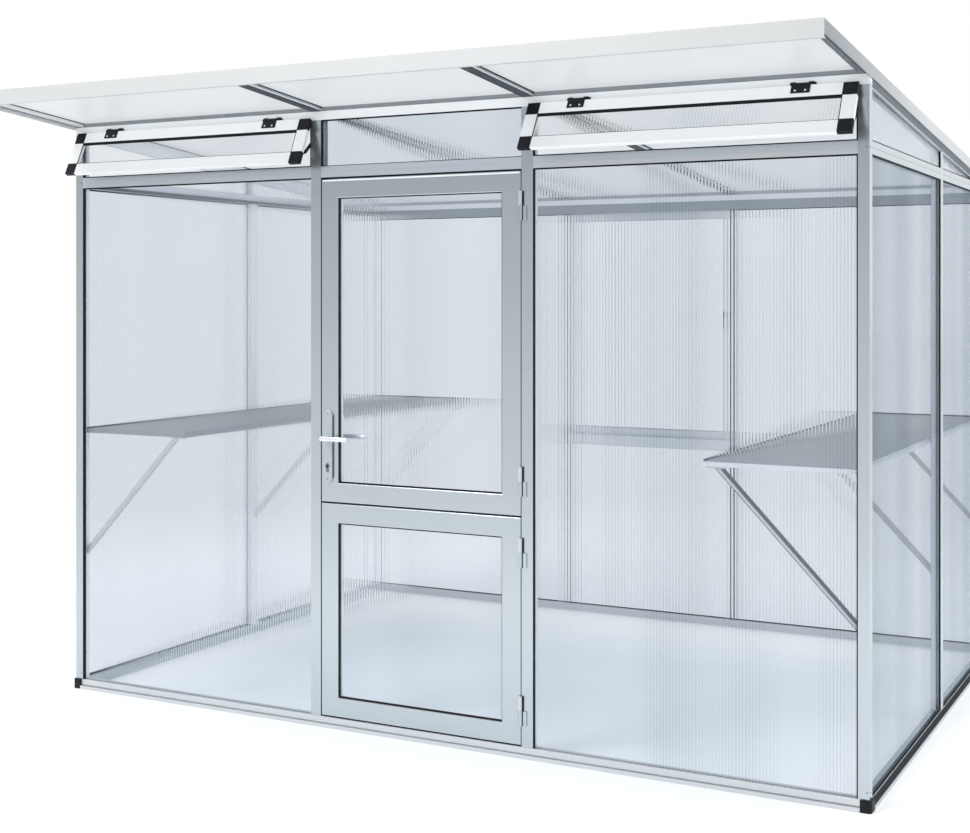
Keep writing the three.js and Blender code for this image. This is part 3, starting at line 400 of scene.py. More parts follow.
vent_sheet = ribbed_sheet(
    "clear sheet vents", "X", "-Y", VENT_CLEAR, VENT_TINT, SHEET_GLANCING,
    FRONT_BOW, lean=0.5, clearness=0.8,
)
opal = opal_sheet("opal roof sheet", (194, 197, 199), (187, 190, 192), (0.56, 0.57, 0.58, 1))


def paint(material, *names):
    """Gives CAD nodes that are shown as they are their finish"""
    for name in names:
        for slot in nodes[name].material_slots:
            slot.material = material


paint(upright_bar, "front_left_post", "front_right_post", "door_post_left", "door_post_right",
      "right_mullion")
paint(inner_bar, "rear_mullion_left", "rear_mullion_right", "left_head_rail", "rear_mid_rail")
paint(inside_white("inside white aluminium"), "rear_left_post", "rear_right_post", "left_mullion")
paint(level_bar, "front_head_rail", "rear_eave_trim")
paint(side_bar, "left_sill", "right_sill", "right_head_rail")
paint(verge_bar, "right_verge")
paint(fascia_bar, "fascia")
paint(pale_bar, "left_verge")
paint(SHEETS["front"], "front_pane_left", "front_pane_right", "transom_pane", "door_upper_pane",
      "door_lower_pane")
paint(vent_sheet, "vent_pane_left", "vent_pane_right")
paint(SHEETS["rear"], "rear_pane_left", "rear_pane_right", "rear_pane_lower", "window_pane")
paint(SHEETS["left"], "left_pane_front", "left_pane_rear", "gable_pane_left")
paint(SHEETS["right"], "right_pane_front", "right_pane_rear")
paint(gable_sheet, "gable_pane_right")
paint(opal, "roof_sheet_left", "roof_sheet_middle", "roof_sheet_right")


# Pieces

SHARP_FROM = math.radians(21)
AS_DRAWN = Matrix.Identity(4)


class Shape:
    """A mesh in the making, in wall millimetres"""

    def __init__(self):
        self.mesh = bmesh.new()

    def rounded(self, edges, offset):
        bmesh.ops.bevel(self.mesh, geom=edges, offset=offset, segments=2, profile=0.5, affect="EDGES")

    def block(self, x0, x1, y0, y1, z0, z1, rounding=0.0):
        made = bmesh.ops.create_cube(self.mesh, size=1)["verts"]
        middle = Vector(((x0 + x1) / 2, (y0 + y1) / 2, (z0 + z1) / 2))
        size = (x1 - x0, y1 - y0, z1 - z0)
        for corner in made:
            corner.co = middle + Vector([corner.co[i] * size[i] for i in range(3)])
        if rounding:
            self.rounded(list({edge for corner in made for edge in corner.link_edges}), rounding)

    def ring(self, x0, x1, z0, z1, y0, y1, sides, low, high, rounding=0.0):
        """Flat four-sided frame facing y; low and high are its bottom and top widths"""
        def corners(left, right, bottom, top):
            return [(left, bottom), (right, bottom), (right, top), (left, top)]
        outer = corners(x0, x1, z0, z1)
        inner = corners(x0 + sides, x1 - sides, z0 + low, z1 - high)
        rows = [
            [self.mesh.verts.new((x, y, z)) for x, z in loop]
            for y, loop in ((y0, outer), (y0, inner), (y1, inner), (y1, outer))
        ]
        edges = []
        for i in range(4):
            j = (i + 1) % 4
            for a in range(4):
                b = (a + 1) % 4
                self.mesh.faces.new((rows[a][i], rows[a][j], rows[b][j], rows[b][i]))
            edges += [self.mesh.edges.get((row[i], row[j])) for row in rows]
        if rounding:
            self.rounded(edges, rounding)

    def loft(self, loops):
        """Skin over loops of points in turn, closed at both ends"""
        rows = [[self.mesh.verts.new(point) for point in loop] for loop in loops]
        count = len(rows[0])
        for first, second in zip(rows, rows[1:]):
            for i in range(count):
                j = (i + 1) % count
                self.mesh.faces.new((first[i], first[j], second[j], second[i]))
        self.mesh.faces.new(rows[0])
        self.mesh.faces.new(list(reversed(rows[-1])))

    def prism(self, points, along, start, end):
        """Outline drawn out along one axis; its points are the other two coordinates, in order"""
        which = "XYZ".index(along)
        self.loft([
            [(*point[:which], level, *point[which:]) for point in points] for level in (start, end)
        ])

    def barrel(self, centre, radius, length, along, sides=20):
        quarter = math.pi / 2
        turns = {
            "X": Matrix.Rotation(quarter, 4, "Y"), "Y": Matrix.Rotation(quarter, 4, "X"), "Z": AS_DRAWN,
        }
        bmesh.ops.create_cone(
            self.mesh, cap_ends=True, segments=sides, radius1=radius, radius2=radius, depth=length,
            matrix=Matrix.Translation(centre) @ turns[along],
        )

    def tube(self, path, radii, squash, sides=20):
        """Rod along points; squash flattens it sideways"""
        points = [Vector(point) for point in path]
        loops = []
        for index, point in enumerate(points):
            ahead = points[min(index + 1, len(points) - 1)]
            behind = points[max(index - 1, 0)]
            heading = (ahead - behind).normalized()
            sideways = heading.cross(Vector((0, 0, 1))).normalized()
            upward = sideways.cross(heading).normalized()
            loop = []
            for step in range(sides):
                angle = 2 * math.pi * step / sides
                offset = sideways * (math.cos(angle) * squash) + upward * math.sin(angle)
                loop.append(point + offset * radii[index])
            loops.append(loop)
        self.loft(loops)

    def piece(self, name, material, body, slot, replaces=(), turn=AS_DRAWN):
        bmesh.ops.recalc_face_normals(self.mesh, faces=self.mesh.faces)
        self.mesh.transform(TO_FRAME @ turn)
        data = bpy.data.meshes.new(name)
        self.mesh.to_mesh(data)
        self.mesh.free()
        data.materials.append(material)
        data.shade_smooth()
        data.set_sharp_from_angle(angle=SHARP_FROM)
        declare(stand(name, data), body, replaces)


def stand(name, data):
    """Puts an object with this data into the scene"""
    made = bpy.data.objects.new(name, data)
    bpy.context.scene.collection.objects.link(made)
    return made


def declare(made, body, replaces=()):
    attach(made, body)
    if replaces:
        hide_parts(*replaces)


def tipped(at, degrees):
    """Turn about a level axis through a point, outwards at the bottom"""
    return Matrix.Translation(at) @ Matrix.Rotation(-math.radians(degrees), 4, "X")


def on_wall(shape, wall, a0, a1, d0, d1, z0, z1, rounding=0.0):
    """Block placed by a wall: a runs along it in x or y, d goes in from its outer face"""
    spans = {
        "front": (a0, a1, d0, d1),
        "rear": (a0, a1, WALL_DEPTH - d1, WALL_DEPTH - d0),
        "left": (d0, d1, a0, a1),
        "right": (WALL_WIDTH - d1, WALL_WIDTH - d0, a0, a1),
    }
    shape.block(*spans[wall], z0, z1, rounding)


# Seals and beads round the sheets

SIDE_MULLION = 1109
FRONT_LEFT_BAY = (CORNER, DOOR_POST_LEFT)
DOOR_BAY = (DOOR_LEFT, DOOR_RIGHT)
FRONT_RIGHT_BAY = (DOOR_RIGHT + POST, WALL_WIDTH - CORNER)
SIDE_BAYS = ((BAR, SIDE_MULLION), (SIDE_MULLION + POST, WALL_DEPTH - BAR))
REAR_HEAD_BOTTOM = 1958
REAR_MID_BOTTOM = 826
GASKET_FRONT = 2.0
HIGH_GASKET_FRONT = 0.6
PALE_GASKET = 3
BEAD = 1.2
BEAD_SPAN = (18.6, 34.8)
END_GAP = 0.3


def bay_gasket(shape, wall, span, z0, z1, low, high, first, second):
    """Rubber between a sheet and the bars round it, with its widths below, above and at either end"""
    a0, a1 = span
    depth = (GASKET_FRONT, REVEAL)
    if first:
        on_wall(shape, wall, a0, a0 + first, *depth, z0, z1)
    if second:
        on_wall(shape, wall, a1 - second, a1, *depth, z0, z1)
    on_wall(shape, wall, a0 + first, a1 - second, HIGH_GASKET_FRONT, REVEAL, z1 - high, z1)
    if low:
        on_wall(shape, wall, a0 + first, a1 - second, *depth, z0, z0 + low)


def bay_beads(shape, wall, span, z1):
    """Pale strips on the bars' sides behind a sheet"""
    a0, a1 = span
    for start in (a0, a1 - BEAD):
        on_wall(shape, wall, start, start + BEAD, *BEAD_SPAN, SILL_TOP + END_GAP, z1 - END_GAP)


def wall_gaskets():
    rubbers, beads, pale, lips = Shape(), Shape(), Shape(), Shape()
    for bay, second in ((FRONT_LEFT_BAY, 1), (FRONT_RIGHT_BAY, 4.5)):
        bay_gasket(rubbers, "front", bay, SILL_TOP, HEAD_BOTTOM, low=0, high=5, first=4.5, second=second)
        bay_beads(beads, "front", bay, HEAD_BOTTOM)
    bay_gasket(rubbers, "front", DOOR_BAY, HEAD_TOP, TOP_RAIL_BOTTOM, low=2.5, high=5, first=5, second=1.5)
    for bay in SIDE_BAYS:
        bay_gasket(rubbers, "right", bay, SILL_TOP, HEAD_BOTTOM, low=3, high=5, first=1, second=3.5)
        bay_gasket(rubbers, "left", bay, SILL_TOP, HEAD_BOTTOM, low=3, high=5, first=0, second=0)
        for start in (bay[0], bay[1] - PALE_GASKET):
            on_wall(pale, "left", start, start + PALE_GASKET, GASKET_FRONT, REVEAL, SILL_TOP, HEAD_BOTTOM)
        for wall in ("left", "right"):
            bay_beads(beads, wall, bay, HEAD_BOTTOM)
        # Painted shade beside the far end of each right-wall bay, where the reveal is seen through the
        # sheet
        on_wall(lips, "right", bay[1] - 10.5, bay[1] - 3.6, 6, REVEAL - 0.1, SILL_TOP, HEAD_BOTTOM)
    pale.piece("left_wall_upright_gaskets", seal_pale, "frame", "black_plastic")
    lips.piece("right_wall_reveal_shade", shade_bar, "frame", "black_plastic")
    for bay in (FRONT_LEFT_BAY, FRONT_RIGHT_BAY):
        bay_gasket(rubbers, "rear", bay, SILL_TOP, REAR_HEAD_BOTTOM, low=3, high=3, first=2, second=2)
        bay_beads(beads, "rear", bay, REAR_HEAD_BOTTOM)
    bay_gasket(rubbers, "rear", DOOR_BAY, SILL_TOP, REAR_MID_BOTTOM, low=3, high=3, first=2, second=2)
    rubbers.piece("wall_gaskets", rubber, "frame", "black_plastic")
    beads.piece("wall_beads", white_coat_and_highlight_bar, "frame", "white_aluminium")


# Sills and feet

FOOT = 28
FOOT_CUT = 7
FOOT_ROUNDING = 1.6
LIP = 8
SILL_SECTION = [
    (-LIP, 0), (BAR, 0), (BAR, SILL_TOP), (18.3, SILL_TOP), (18.3, 34), (7.7, 34), (7.7, SILL_TOP),
    (0, SILL_TOP), (0, 17), (4, 17), (4, 14), (-LIP, 14),
]
FOOT_PLAN = [(FOOT_CUT - LIP, -LIP), (FOOT, -LIP), (FOOT, BAR), (-LIP, BAR), (-LIP, FOOT_CUT - LIP)]


def sills_and_feet():
    for wall in ("front", "rear"):
        def inwards(y):
            return WALL_DEPTH - y if wall == "rear" else y
        sill = [f"{wall}_sill"]
        bar = Shape()
        bar.prism([(inwards(y), z) for y, z in SILL_SECTION], "X", FOOT, WALL_WIDTH - FOOT)
        bar.piece(f"{wall}_sill_bar", sill_bar, "frame", "aluminium", sill)
        feet = Shape()
        feet.prism([(x, inwards(y)) for x, y in FOOT_PLAN], "Z", 0, SILL_TOP)
        feet.prism([(WALL_WIDTH - x, inwards(y)) for x, y in FOOT_PLAN], "Z", 0, SILL_TOP)
        feet.rounded(list(feet.mesh.edges), FOOT_ROUNDING)
        feet.piece(f"{wall}_feet", black_part, "frame", "black_plastic", sill)
        # Painted light: a white strip at the inner foot of each front and rear sill, for the bright floor
        # along the wall
        foot_light = Shape()
        on_wall(foot_light, wall, BAR, WALL_WIDTH - BAR, 35.8, 38.4, 0.2, 7, 0.8)
        foot_light.piece(f"{wall}_sill_foot_light", white_coat_and_highlight_bar, "frame", "white_aluminium")
    # Painted shade: a dark band on the outer face of each side sill, where its recess is shaded
    strips = Shape()
    for wall in ("left", "right"):
        on_wall(strips, wall, SILL_TOP, WALL_DEPTH - SILL_TOP, -1.6, 0.5, 15, 34, 0.7)
    strips.piece("side_sill_recess_shade", rubber, "frame", "black_plastic")


# Door

LEAF_LEFT = 1164
LEAF_RIGHT = 1964
LEAVES = {"lower": (43, 807), "upper": (812, 1972)}
LEAF_DEPTH = 30
LEAF_ROUNDING = 3.2
STILE = 72
RAIL = 70
LEAF_SEAL = 5
HINGE_SIDE_SEAL = 0.8
HINGE_X = 1965.5
HINGE_Y = -8
KNUCKLE = 100
KNUCKLE_RADIUS = 6.8
KNUCKLES = {"lower": (109, 639), "upper": (878, 1804)}


def door():
    for leaf, (z0, z1) in LEAVES.items():
        body = f"door_{leaf}"
        node = [f"door_{leaf}_frame"]
        shape = Shape()
        shape.ring(LEAF_LEFT, LEAF_RIGHT, z0, z1, 0, LEAF_DEPTH, STILE, RAIL, RAIL, LEAF_ROUNDING)
        shape.piece(f"door_{leaf}_leaf", upright_bar, body, "aluminium", node)
        x0, x1, low, high = LEAF_LEFT + STILE, LEAF_RIGHT - STILE, z0 + RAIL, z1 - RAIL
        beads = Shape()
        beads.ring(x0, x1, low, high, 18.4, 29.6, 2, 2, 2)
        beads.piece(f"door_{leaf}_beads", white_coat_and_highlight_bar, body, "aluminium", node)
        seal = Shape()
        seal.block(x0, x0 + LEAF_SEAL, 1.5, REVEAL, low, high)
        seal.block(x1 - HINGE_SIDE_SEAL, x1, 1.5, REVEAL, low, high)
        for start, end in ((low, low + LEAF_SEAL), (high - 3, high)):
            seal.block(x0 + LEAF_SEAL, x1 - HINGE_SIDE_SEAL, 1.5, REVEAL, start, end)
        seal.piece(f"door_{leaf}_gasket", rubber, body, "black_plastic", node)
        knuckles = Shape()
        for start in KNUCKLES[leaf]:
            middle, top = start + KNUCKLE / 2 + 0.4, start + KNUCKLE
            knuckles.barrel((HINGE_X, HINGE_Y, (middle + top) / 2), KNUCKLE_RADIUS, top - middle, "Z")
            knuckles.block(HINGE_X - 9, HINGE_X, -4.5, -0.2, middle, top, 1.0)
        knuckles.piece(f"door_{leaf}_knuckles", sill_bar, body, "aluminium", node)


BOLT_SLOTS = ((1138, 22), (1987, 22), (14, 10))


def door_seals():
    """Black strips round the leaves, painted shadows beside the hinge knuckles, a painted highlight along
    the upper leaf's top edge, and painted shade in the slots of the rear uprights
    """
    shape = Shape()
    for x0, x1 in ((DOOR_LEFT, DOOR_LEFT + 2.8), (DOOR_RIGHT - 2.8, DOOR_RIGHT)):
        shape.block(x0, x1, 4, 12, SILL_TOP + 1, HEAD_BOTTOM - 1)
    shape.block(DOOR_LEFT + 3, DOOR_RIGHT - 3, 4, 12, HEAD_BOTTOM - 5.5, HEAD_BOTTOM)
    shape.block(DOOR_LEFT + 3, DOOR_RIGHT - 3, 6, 12, SILL_TOP, SILL_TOP + 4.5)
    # Painted shadows: a dark strip on the post beside each hinge knuckle
    for start in KNUCKLES["lower"] + KNUCKLES["upper"]:
        shape.block(HINGE_X + 6.5, HINGE_X + 9, -5.5, -0.3, start, start + KNUCKLE)
    shape.piece("door_opening_seals", rubber, "frame", "black_plastic")
    # Painted highlight: a white strip along the rounded top edge of the upper leaf
    top = Shape()
    leaf_top = LEAVES["upper"][1]
    top.block(LEAF_LEFT + 5, LEAF_RIGHT - 5, -0.35, 0.2, leaf_top - 9, leaf_top - 3.5)
    top.piece("door_upper_top_highlight", white_coat_and_highlight_bar, "door_upper", "aluminium")
    # Painted shade: dark strips down the inner faces of the rear uprights, where their slots are shaded
    slots = Shape()
    inner = WALL_DEPTH - BAR
    for x, width in BOLT_SLOTS:
        slots.block(x, x + width, inner - 0.6, inner + 0.4, SILL_TOP, REAR_HEAD_BOTTOM)
    slots.piece("rear_bolt_slot_shade", slot_bar, "frame", "black_plastic")
    split = Shape()
    split.block(DOOR_LEFT + 6, DOOR_RIGHT - 6, 5, 20, LEAVES["lower"][1] + 0.2, LEAVES["upper"][0] - 1)
    split.piece("door_split_seal", rubber, "door_lower", "black_plastic")


def stadium(width, length, x, z, steps=10):
    """Outline with round ends, upright, in x and z"""
    half = width / 2
    straight = length / 2 - half
    points = []
    for end in (1, -1):
        for step in range(steps + 1):
            angle = math.pi * step / steps + (0 if end > 0 else math.pi)
            points.append((x + half * math.cos(angle), z + end * straight + half * math.sin(angle)))
    return points


PLATE_X = 1194.5
PLATE_Z = 1011
PLATE_SIZE = (39, 260)
PLATE_FACE = 7
KEY_Z = 943
LEVER_Z = 1042
NECK_RADIUS = 8.4
LEVER_REACH = (-8.8, -8, -5.5, 0, 55, 103.5, 107, 108.8, 109)
LEVER_RADII = (2.5, 5, 7.8, 9, 8.6, 8.4, 7, 4.5, 2)


def door_handle():
    for side, back, out in (("outer", -0.3, -1), ("inner", LEAF_DEPTH + 0.3, 1)):
        face = back + out * PLATE_FACE
        node = [f"handle_plate_{side}"]
        shape = Shape()
        shape.loft([
            [(x, y, z) for x, z in stadium(PLATE_SIZE[0] - less, PLATE_SIZE[1] - less, PLATE_X, PLATE_Z)]
            for y, less in ((back, 0), (face - out * 2.2, 0), (face - out * 0.7, 1.4), (face, 4))
        ])
        shape.piece(f"handle_plate_{side}_cover", plate_steel, "door_upper", "polished_steel", node)
        edge = Shape()
        edge.block(PLATE_X + 19.3, PLATE_X + 20.4, min(back, face) + 0.5, max(back, face) - 0.5, 899, 1123)
        edge.piece(f"handle_plate_{side}_edge", shade_bar, "door_upper", "polished_steel", node)
        y = face + out * 0.5
        lock = Shape()
        lock.barrel((PLATE_X, y, KEY_Z), 8.3, 2.4, "Y", 24)
        lock.block(PLATE_X - 5, PLATE_X + 5, y - 1.2, y + 1.2, KEY_Z - 24, KEY_Z)
        lock.piece(f"lock_{side}", shade_bar, "door_upper", "polished_steel", node)
        keyway = Shape()
        keyway.block(PLATE_X - 1.2, PLATE_X + 1.2, y - 1.6, y + 1.6, KEY_Z - 5, KEY_Z + 6)
        keyway.piece(f"keyway_{side}", rubber, "door_upper", "black_plastic", node)
    lever = Shape()
    for start, end, arm in ((-7.6, -50, -47.6), (37.6, 80, 77.6)):
        lever.barrel((PLATE_X, (start + end) / 2, LEVER_Z), NECK_RADIUS, abs(end - start), "Y", 24)
        path = [(PLATE_X + along, arm, LEVER_Z) for along in LEVER_REACH]
        lever.tube(path, LEVER_RADII, squash=0.66)
    lever.barrel((PLATE_X, LEAF_DEPTH / 2, LEVER_Z), 4.9, 46, "Y")
    lever.piece("door_lever_handle", bright_steel, "lever", "polished_steel", ["door_lever"])
    bolt = Shape()
    bolt.block(1154, 1191, 8.2, 17.8, 1072.3, 1087.7, 1.0)
    bolt.piece("latch_bolt_tongue", steel, "latch", "polished_steel", ["latch_bolt"])


# Vents

# Each one's ends, opening angle, place of the stay and angle of the stay
VENTS = {"left": (27, 1127, 24, 1114.5, 48.9), "right": (2001, 3101, 29, 3088.5, 55.2)}
VENT_AXIS = Vector((0, -8, 2195))
SASH_BOTTOM, SASH_TOP, SASH_FRONT, SASH_BACK = -187, -7, -8.5, 7.5
SASH_RAIL = 44
CAP = 46
HINGE_PLACES = (176, 924)
LUG_SPAN = (1079.2, 1087.2)
LUG_SIDE_SEAL = 4.4
STAY_PIVOT = (24, 2120)
EAR_RADIUS = 6.6


def vent_seals():
    shape = Shape()
    low, high = HEAD_TOP + 4, TOP_RAIL_BOTTOM - 4
    for x0, x1 in (FRONT_LEFT_BAY, FRONT_RIGHT_BAY):
        for left, right, bottom, top in (
            (x0, x1, HEAD_TOP, low), (x0, x1, high, TOP_RAIL_BOTTOM),
            (x0, x0 + 6, low, high), (x1 - LUG_SIDE_SEAL, x1, low, high),
        ):
            shape.block(left, right, 0.4, 7, bottom, top)
    shape.piece("vent_opening_seals", rubber, "frame", "black_plastic")


def vents():
    ears = Shape()
    for side, (x0, x1, opened, stay_x, swing) in VENTS.items():
        body = f"vent_{side}"
        node = [f"vent_frame_{side}"]
        turn = tipped(VENT_AXIS, opened)
        rails, caps = Shape(), Shape()
        for low, high in ((SASH_BOTTOM, SASH_BOTTOM + SASH_RAIL), (SASH_TOP - SASH_RAIL, SASH_TOP)):
            rails.block(x0 + CAP, x1 - CAP, SASH_FRONT, SASH_BACK, low, high, 1.2)
        for left, right in ((x0, x0 + SASH_RAIL), (x1 - SASH_RAIL, x1)):
            rails.block(left, right, SASH_FRONT, SASH_BACK, SASH_BOTTOM + CAP, SASH_TOP - CAP, 1.2)
        rails.piece(f"vent_{side}_rails", white_coat_and_highlight_bar, body, "white_aluminium", node, turn)
        for left in (x0, x1 - CAP):
            for low in (SASH_BOTTOM, SASH_TOP - CAP):
                caps.block(left, left + CAP, SASH_FRONT - 0.8, SASH_BACK, low, low + CAP, 1.5)
        caps.piece(f"vent_{side}_corner_caps", black_part, body, "black_plastic", node, turn)
        seal = Shape()
        # Front ring: the real gasket, its 12 mm top band widened with painted shade under the top rail
        seal.ring(
            x0 + SASH_RAIL, x1 - SASH_RAIL, SASH_BOTTOM + SASH_RAIL, SASH_TOP - SASH_RAIL, -7.9, -5.7,
            sides=2.5, low=1.5, high=12,
        )
        # Back ring: painted shade, a black cover over the sash's inner face
        seal.ring(x0 + 1, x1 - 1, SASH_BOTTOM + 1, SASH_TOP - 1, 7.3, 7.95, sides=40, low=40, high=40)
        seal.piece(f"vent_{side}_gasket", rubber, body, "black_plastic", node, turn)
        hinges = Shape()
        for centre in (x0 + place for place in HINGE_PLACES):
            hinges.block(centre - 30, centre + 30, SASH_FRONT - 3, SASH_FRONT + 0.5, -37, -8, 1.2)
            hinges.barrel((centre, 0, 0), EAR_RADIUS, 40, "X")
            hinges.block(centre - 20, centre + 20, -6.5, -0.5, -16, 0, 0.8)
            level = VENT_AXIS.z
            for middle in (centre - 28.5, centre + 28.5):
                ears.barrel((middle, VENT_AXIS.y, level), EAR_RADIUS, 16, "X")
                ears.block(middle - 8, middle + 8, -8, 0, level, level + 9.5, 0.8)
            ears.block(centre + 36.5, centre + 43, -6, 0, level, level + 7, 1.5)
        hinges.piece(f"vent_{side}_hinge_plates", black_part, body, "black_plastic", node, turn)
        lug = Shape()
        lug.block(x0 + LUG_SPAN[0], x0 + LUG_SPAN[1], 7, 31.5, -132, -118, 1.0)
        lug.piece(f"vent_{side}_lug", black_part, body, "black_plastic", node, turn)
        stay = Shape()
        stay.prism(stadium(12, 88, 0, -38), "X", 0, 4)
        stay.barrel((7, 0, 0), 3, 10, "X", 16)
        stay.barrel((-0.6, 0, 0), 4.6, 1.4, "X", 16)
        stay.piece(
            f"vent_{side}_stay_arm", black_part, f"stay_{side}", "black_plastic", [f"vent_stay_{side}"],
            tipped((stay_x, *STAY_PIVOT), swing),
        )
    ears.piece("vent_hinge_ears", black_part, "frame", "black_plastic", ["front_top_rail"])


# Gables and roof bars

ROOF_EDGE = 2217.5
GABLE_RAIL = 39
GABLE_SEAL = 4
SHEET_RUNS = ((35.3, 1120.7), (1159.3, 1968.7), (2007.3, 3092.7))


def roof_line(y):
    return ROOF_EDGE - ROOF_FALL * y


def gable_bottom(y):
    return roof_line(y) + 0.3 - GABLE_RAIL


GABLE_MEET = (ROOF_EDGE - GABLE_RAIL - HEAD_TOP) / ROOF_FALL
# The upper band on the sloping rails is painted shade, where the verge shades the rail
GABLE_BANDS = (("face", gable_edge_bar, -0.2, 3.5), ("painted_shade", gable_shade_bar, 3.5, 28.5))


def gable_gaskets():
    """Rubber along the head rail and the mullion below the gable sheets, and the sloping rails' bands: a
    pale edge and a band of painted shade under the verge
    """
    shape = Shape()
    top = HEAD_TOP + GABLE_SEAL
    upright = SIDE_MULLION - 5
    for wall in ("left", "right"):
        for start, end in ((37, SIDE_MULLION - 0.5), (SIDE_MULLION + POST + 0.5, GABLE_MEET - 40)):
            on_wall(shape, wall, start, end, GASKET_FRONT, REVEAL, HEAD_TOP, top)
        on_wall(shape, wall, upright, SIDE_MULLION, GASKET_FRONT, REVEAL, top, gable_bottom(upright) - 5)
    shape.piece("gable_gaskets", rubber, "frame", "black_plastic")
    for name, material, low, high in GABLE_BANDS:
        faces = Shape()
        corners = ((36.5, low), (1980, low), (1980, high), (36.5, high))
        outline = [(y, gable_bottom(y) + rise) for y, rise in corners]
        for x0, x1 in ((-0.45, 0.2), (WALL_WIDTH - 0.2, WALL_WIDTH + 0.45)):
            faces.prism(outline, "X", x0, x1)
        faces.piece(f"gable_rail_{name}s", material, "frame", "aluminium")


EAVE_START = -536.7
EAVE_END = 2316.7


def roof_bar(shape, section, y1=EAVE_END):
    """Bar along the roof's slope; the section is x and the height over the rafters' underside"""
    shape.loft([[(x, y, ROOF_BASE + h - ROOF_FALL * y) for x, h in section] for y in (EAVE_START, y1)])


def strip(shape, across, h0, h1, start, end, y1=EAVE_END):
    """Flat strip along the roof's slope, from start to end across it"""
    corners = ((start, h0), (end, h0), (end, h1), (start, h1))
    roof_bar(shape, [(across(u), h) for u, h in corners], y1)


HALF = 19
RAFTERS = {"left": 1140, "right": 1988}
RAFTER_SECTION = [
    (-HALF, 3), (HALF, 3), (HALF, 9), (HALF - 1, 9.8), (HALF, 10.6), (HALF, 17), (7, 17), (7, 27.6),
    (HALF, 27.6), (HALF, 30.1), (-HALF, 30.1), (-HALF, 27.6), (-7, 27.6), (-7, 17), (-HALF, 17),
]
RAFTER_FEET = ((-HALF, -12, 0), (-11, -1, 0.7), (0, 10, 0), (11, HALF, 0.7))
VERGE_RIDGES = ((13.2, 18, 0.5), (18.8, 24, 0.1), (24.8, 30.8, 0.5))


def rafters_and_verges():
    lines, shaded, bright, leg_shade = Shape(), Shape(), Shape(), Shape()
    for side, centre in RAFTERS.items():
        def beside(u):
            return centre + u
        bar = Shape()
        roof_bar(bar, [(beside(u), h) for u, h in RAFTER_SECTION])
        bar.piece(f"{side}_rafter_bar", side_bar, "frame", "aluminium", [f"{side}_rafter"])
        for first, second, drop in RAFTER_FEET:
            strip(shaded, beside, drop, 2.8, first, second)
        # Painted highlight along the lower band of each rafter side face
        for outer in (-HALF - 0.4, HALF):
            strip(bright, beside, 3.2, 8.2, outer, outer + 0.4)
        strip(lines, beside, 1.6, 2.9, -HALF + 0.4, HALF - 0.4)
        for low, high, inset in ((14.6, 17.1, 0.5), (27.35, 29, 4)):
            for start, end in ((HALF - inset, HALF + 3), (-HALF - 3, -HALF + inset)):
                strip(lines, beside, low, high, start, end)
    for mirror in (False, True):
        def across(u):
            return WALL_WIDTH - u if mirror else u
        strip(lines, across, 14.6, 17.1, 31, 34)
        strip(lines, across, 9.5, 11.9, -0.4, 12.9, -1)
        # Painted shade on the verge legs' undersides over the front overhang, with small ridges
        for first, second, drop in VERGE_RIDGES:
            strip(leg_shade, across, -drop, 0.2, first, second, -1)
    lines.piece("roof_gaskets", rubber, "frame", "black_plastic")
    rafters = ["left_rafter", "right_rafter"]
    shaded.piece("rafter_undersides", deep_bar, "frame", "aluminium", rafters)
    bright.piece("rafter_side_highlights", highlight_side_bar, "frame", "aluminium", rafters)
    leg_shade.piece("verge_leg_shaded_ridges", shade_bar, "frame", "aluminium")


def under_sheets(shape, near, far):
    """Seal between a level rail and each roof sheet, from near to far in y"""
    outline = [(near, -1), (far, -1), (far, 17.2), (near, 17.2)]
    for x0, x1 in SHEET_RUNS:
        shape.prism([(y, roof_line(y) + rise) for y, rise in outline], "X", x0, x1)


REAR_STEP = 2000
REAR_GROOVE = ((2241.7, REAR_HEAD_BOTTOM), (2241.7, 1968), (2252.3, 1968), (2252.3, REAR_HEAD_BOTTOM))
TOP_GROOVE = ((7.7, TOP_RAIL_BOTTOM), (7.7, 2196), (18.3, 2196), (18.3, TOP_RAIL_BOTTOM))


def rear_rails():
    """Rear head rail, pale above and grey below, its seal to the roof, and the left rail's shaded foot"""
    start, end = CORNER + 0.3, WALL_WIDTH - CORNER - 0.3
    inner = WALL_DEPTH - BAR
    low, high, seals, foot = Shape(), Shape(), Shape(), Shape()
    low.prism([
        (inner, REAR_HEAD_BOTTOM), *REAR_GROOVE, (WALL_DEPTH, REAR_HEAD_BOTTOM), (WALL_DEPTH, REAR_STEP),
        (inner, REAR_STEP),
    ], "X", start, end)
    low.piece("rear_head_bar", rear_low_bar, "frame", "aluminium", ["rear_head_rail"])
    above = REAR_STEP + 1.5
    high.prism([
        (inner, above), (WALL_DEPTH, above), (WALL_DEPTH, roof_line(WALL_DEPTH)), (inner, roof_line(inner)),
    ], "X", start, end)
    high.piece("rear_head_edge", white_coat_and_highlight_bar, "frame", "aluminium", ["rear_head_rail"])
    seals.block(start, end, inner + 1.5, WALL_DEPTH - 1.5, REAR_STEP - 0.2, above + 0.2)
    under_sheets(seals, WALL_DEPTH - 26, WALL_DEPTH - 10)
    seals.piece("rear_roof_seals", seal_pale, "frame", "black_plastic", ["rear_head_rail"])
    foot.block(BAR, BAR + 0.5, BAR + 1, inner - 1, HEAD_BOTTOM + 0.3, HEAD_BOTTOM + 14)
    foot.piece("left_head_rail_foot", shade_bar, "frame", "aluminium")


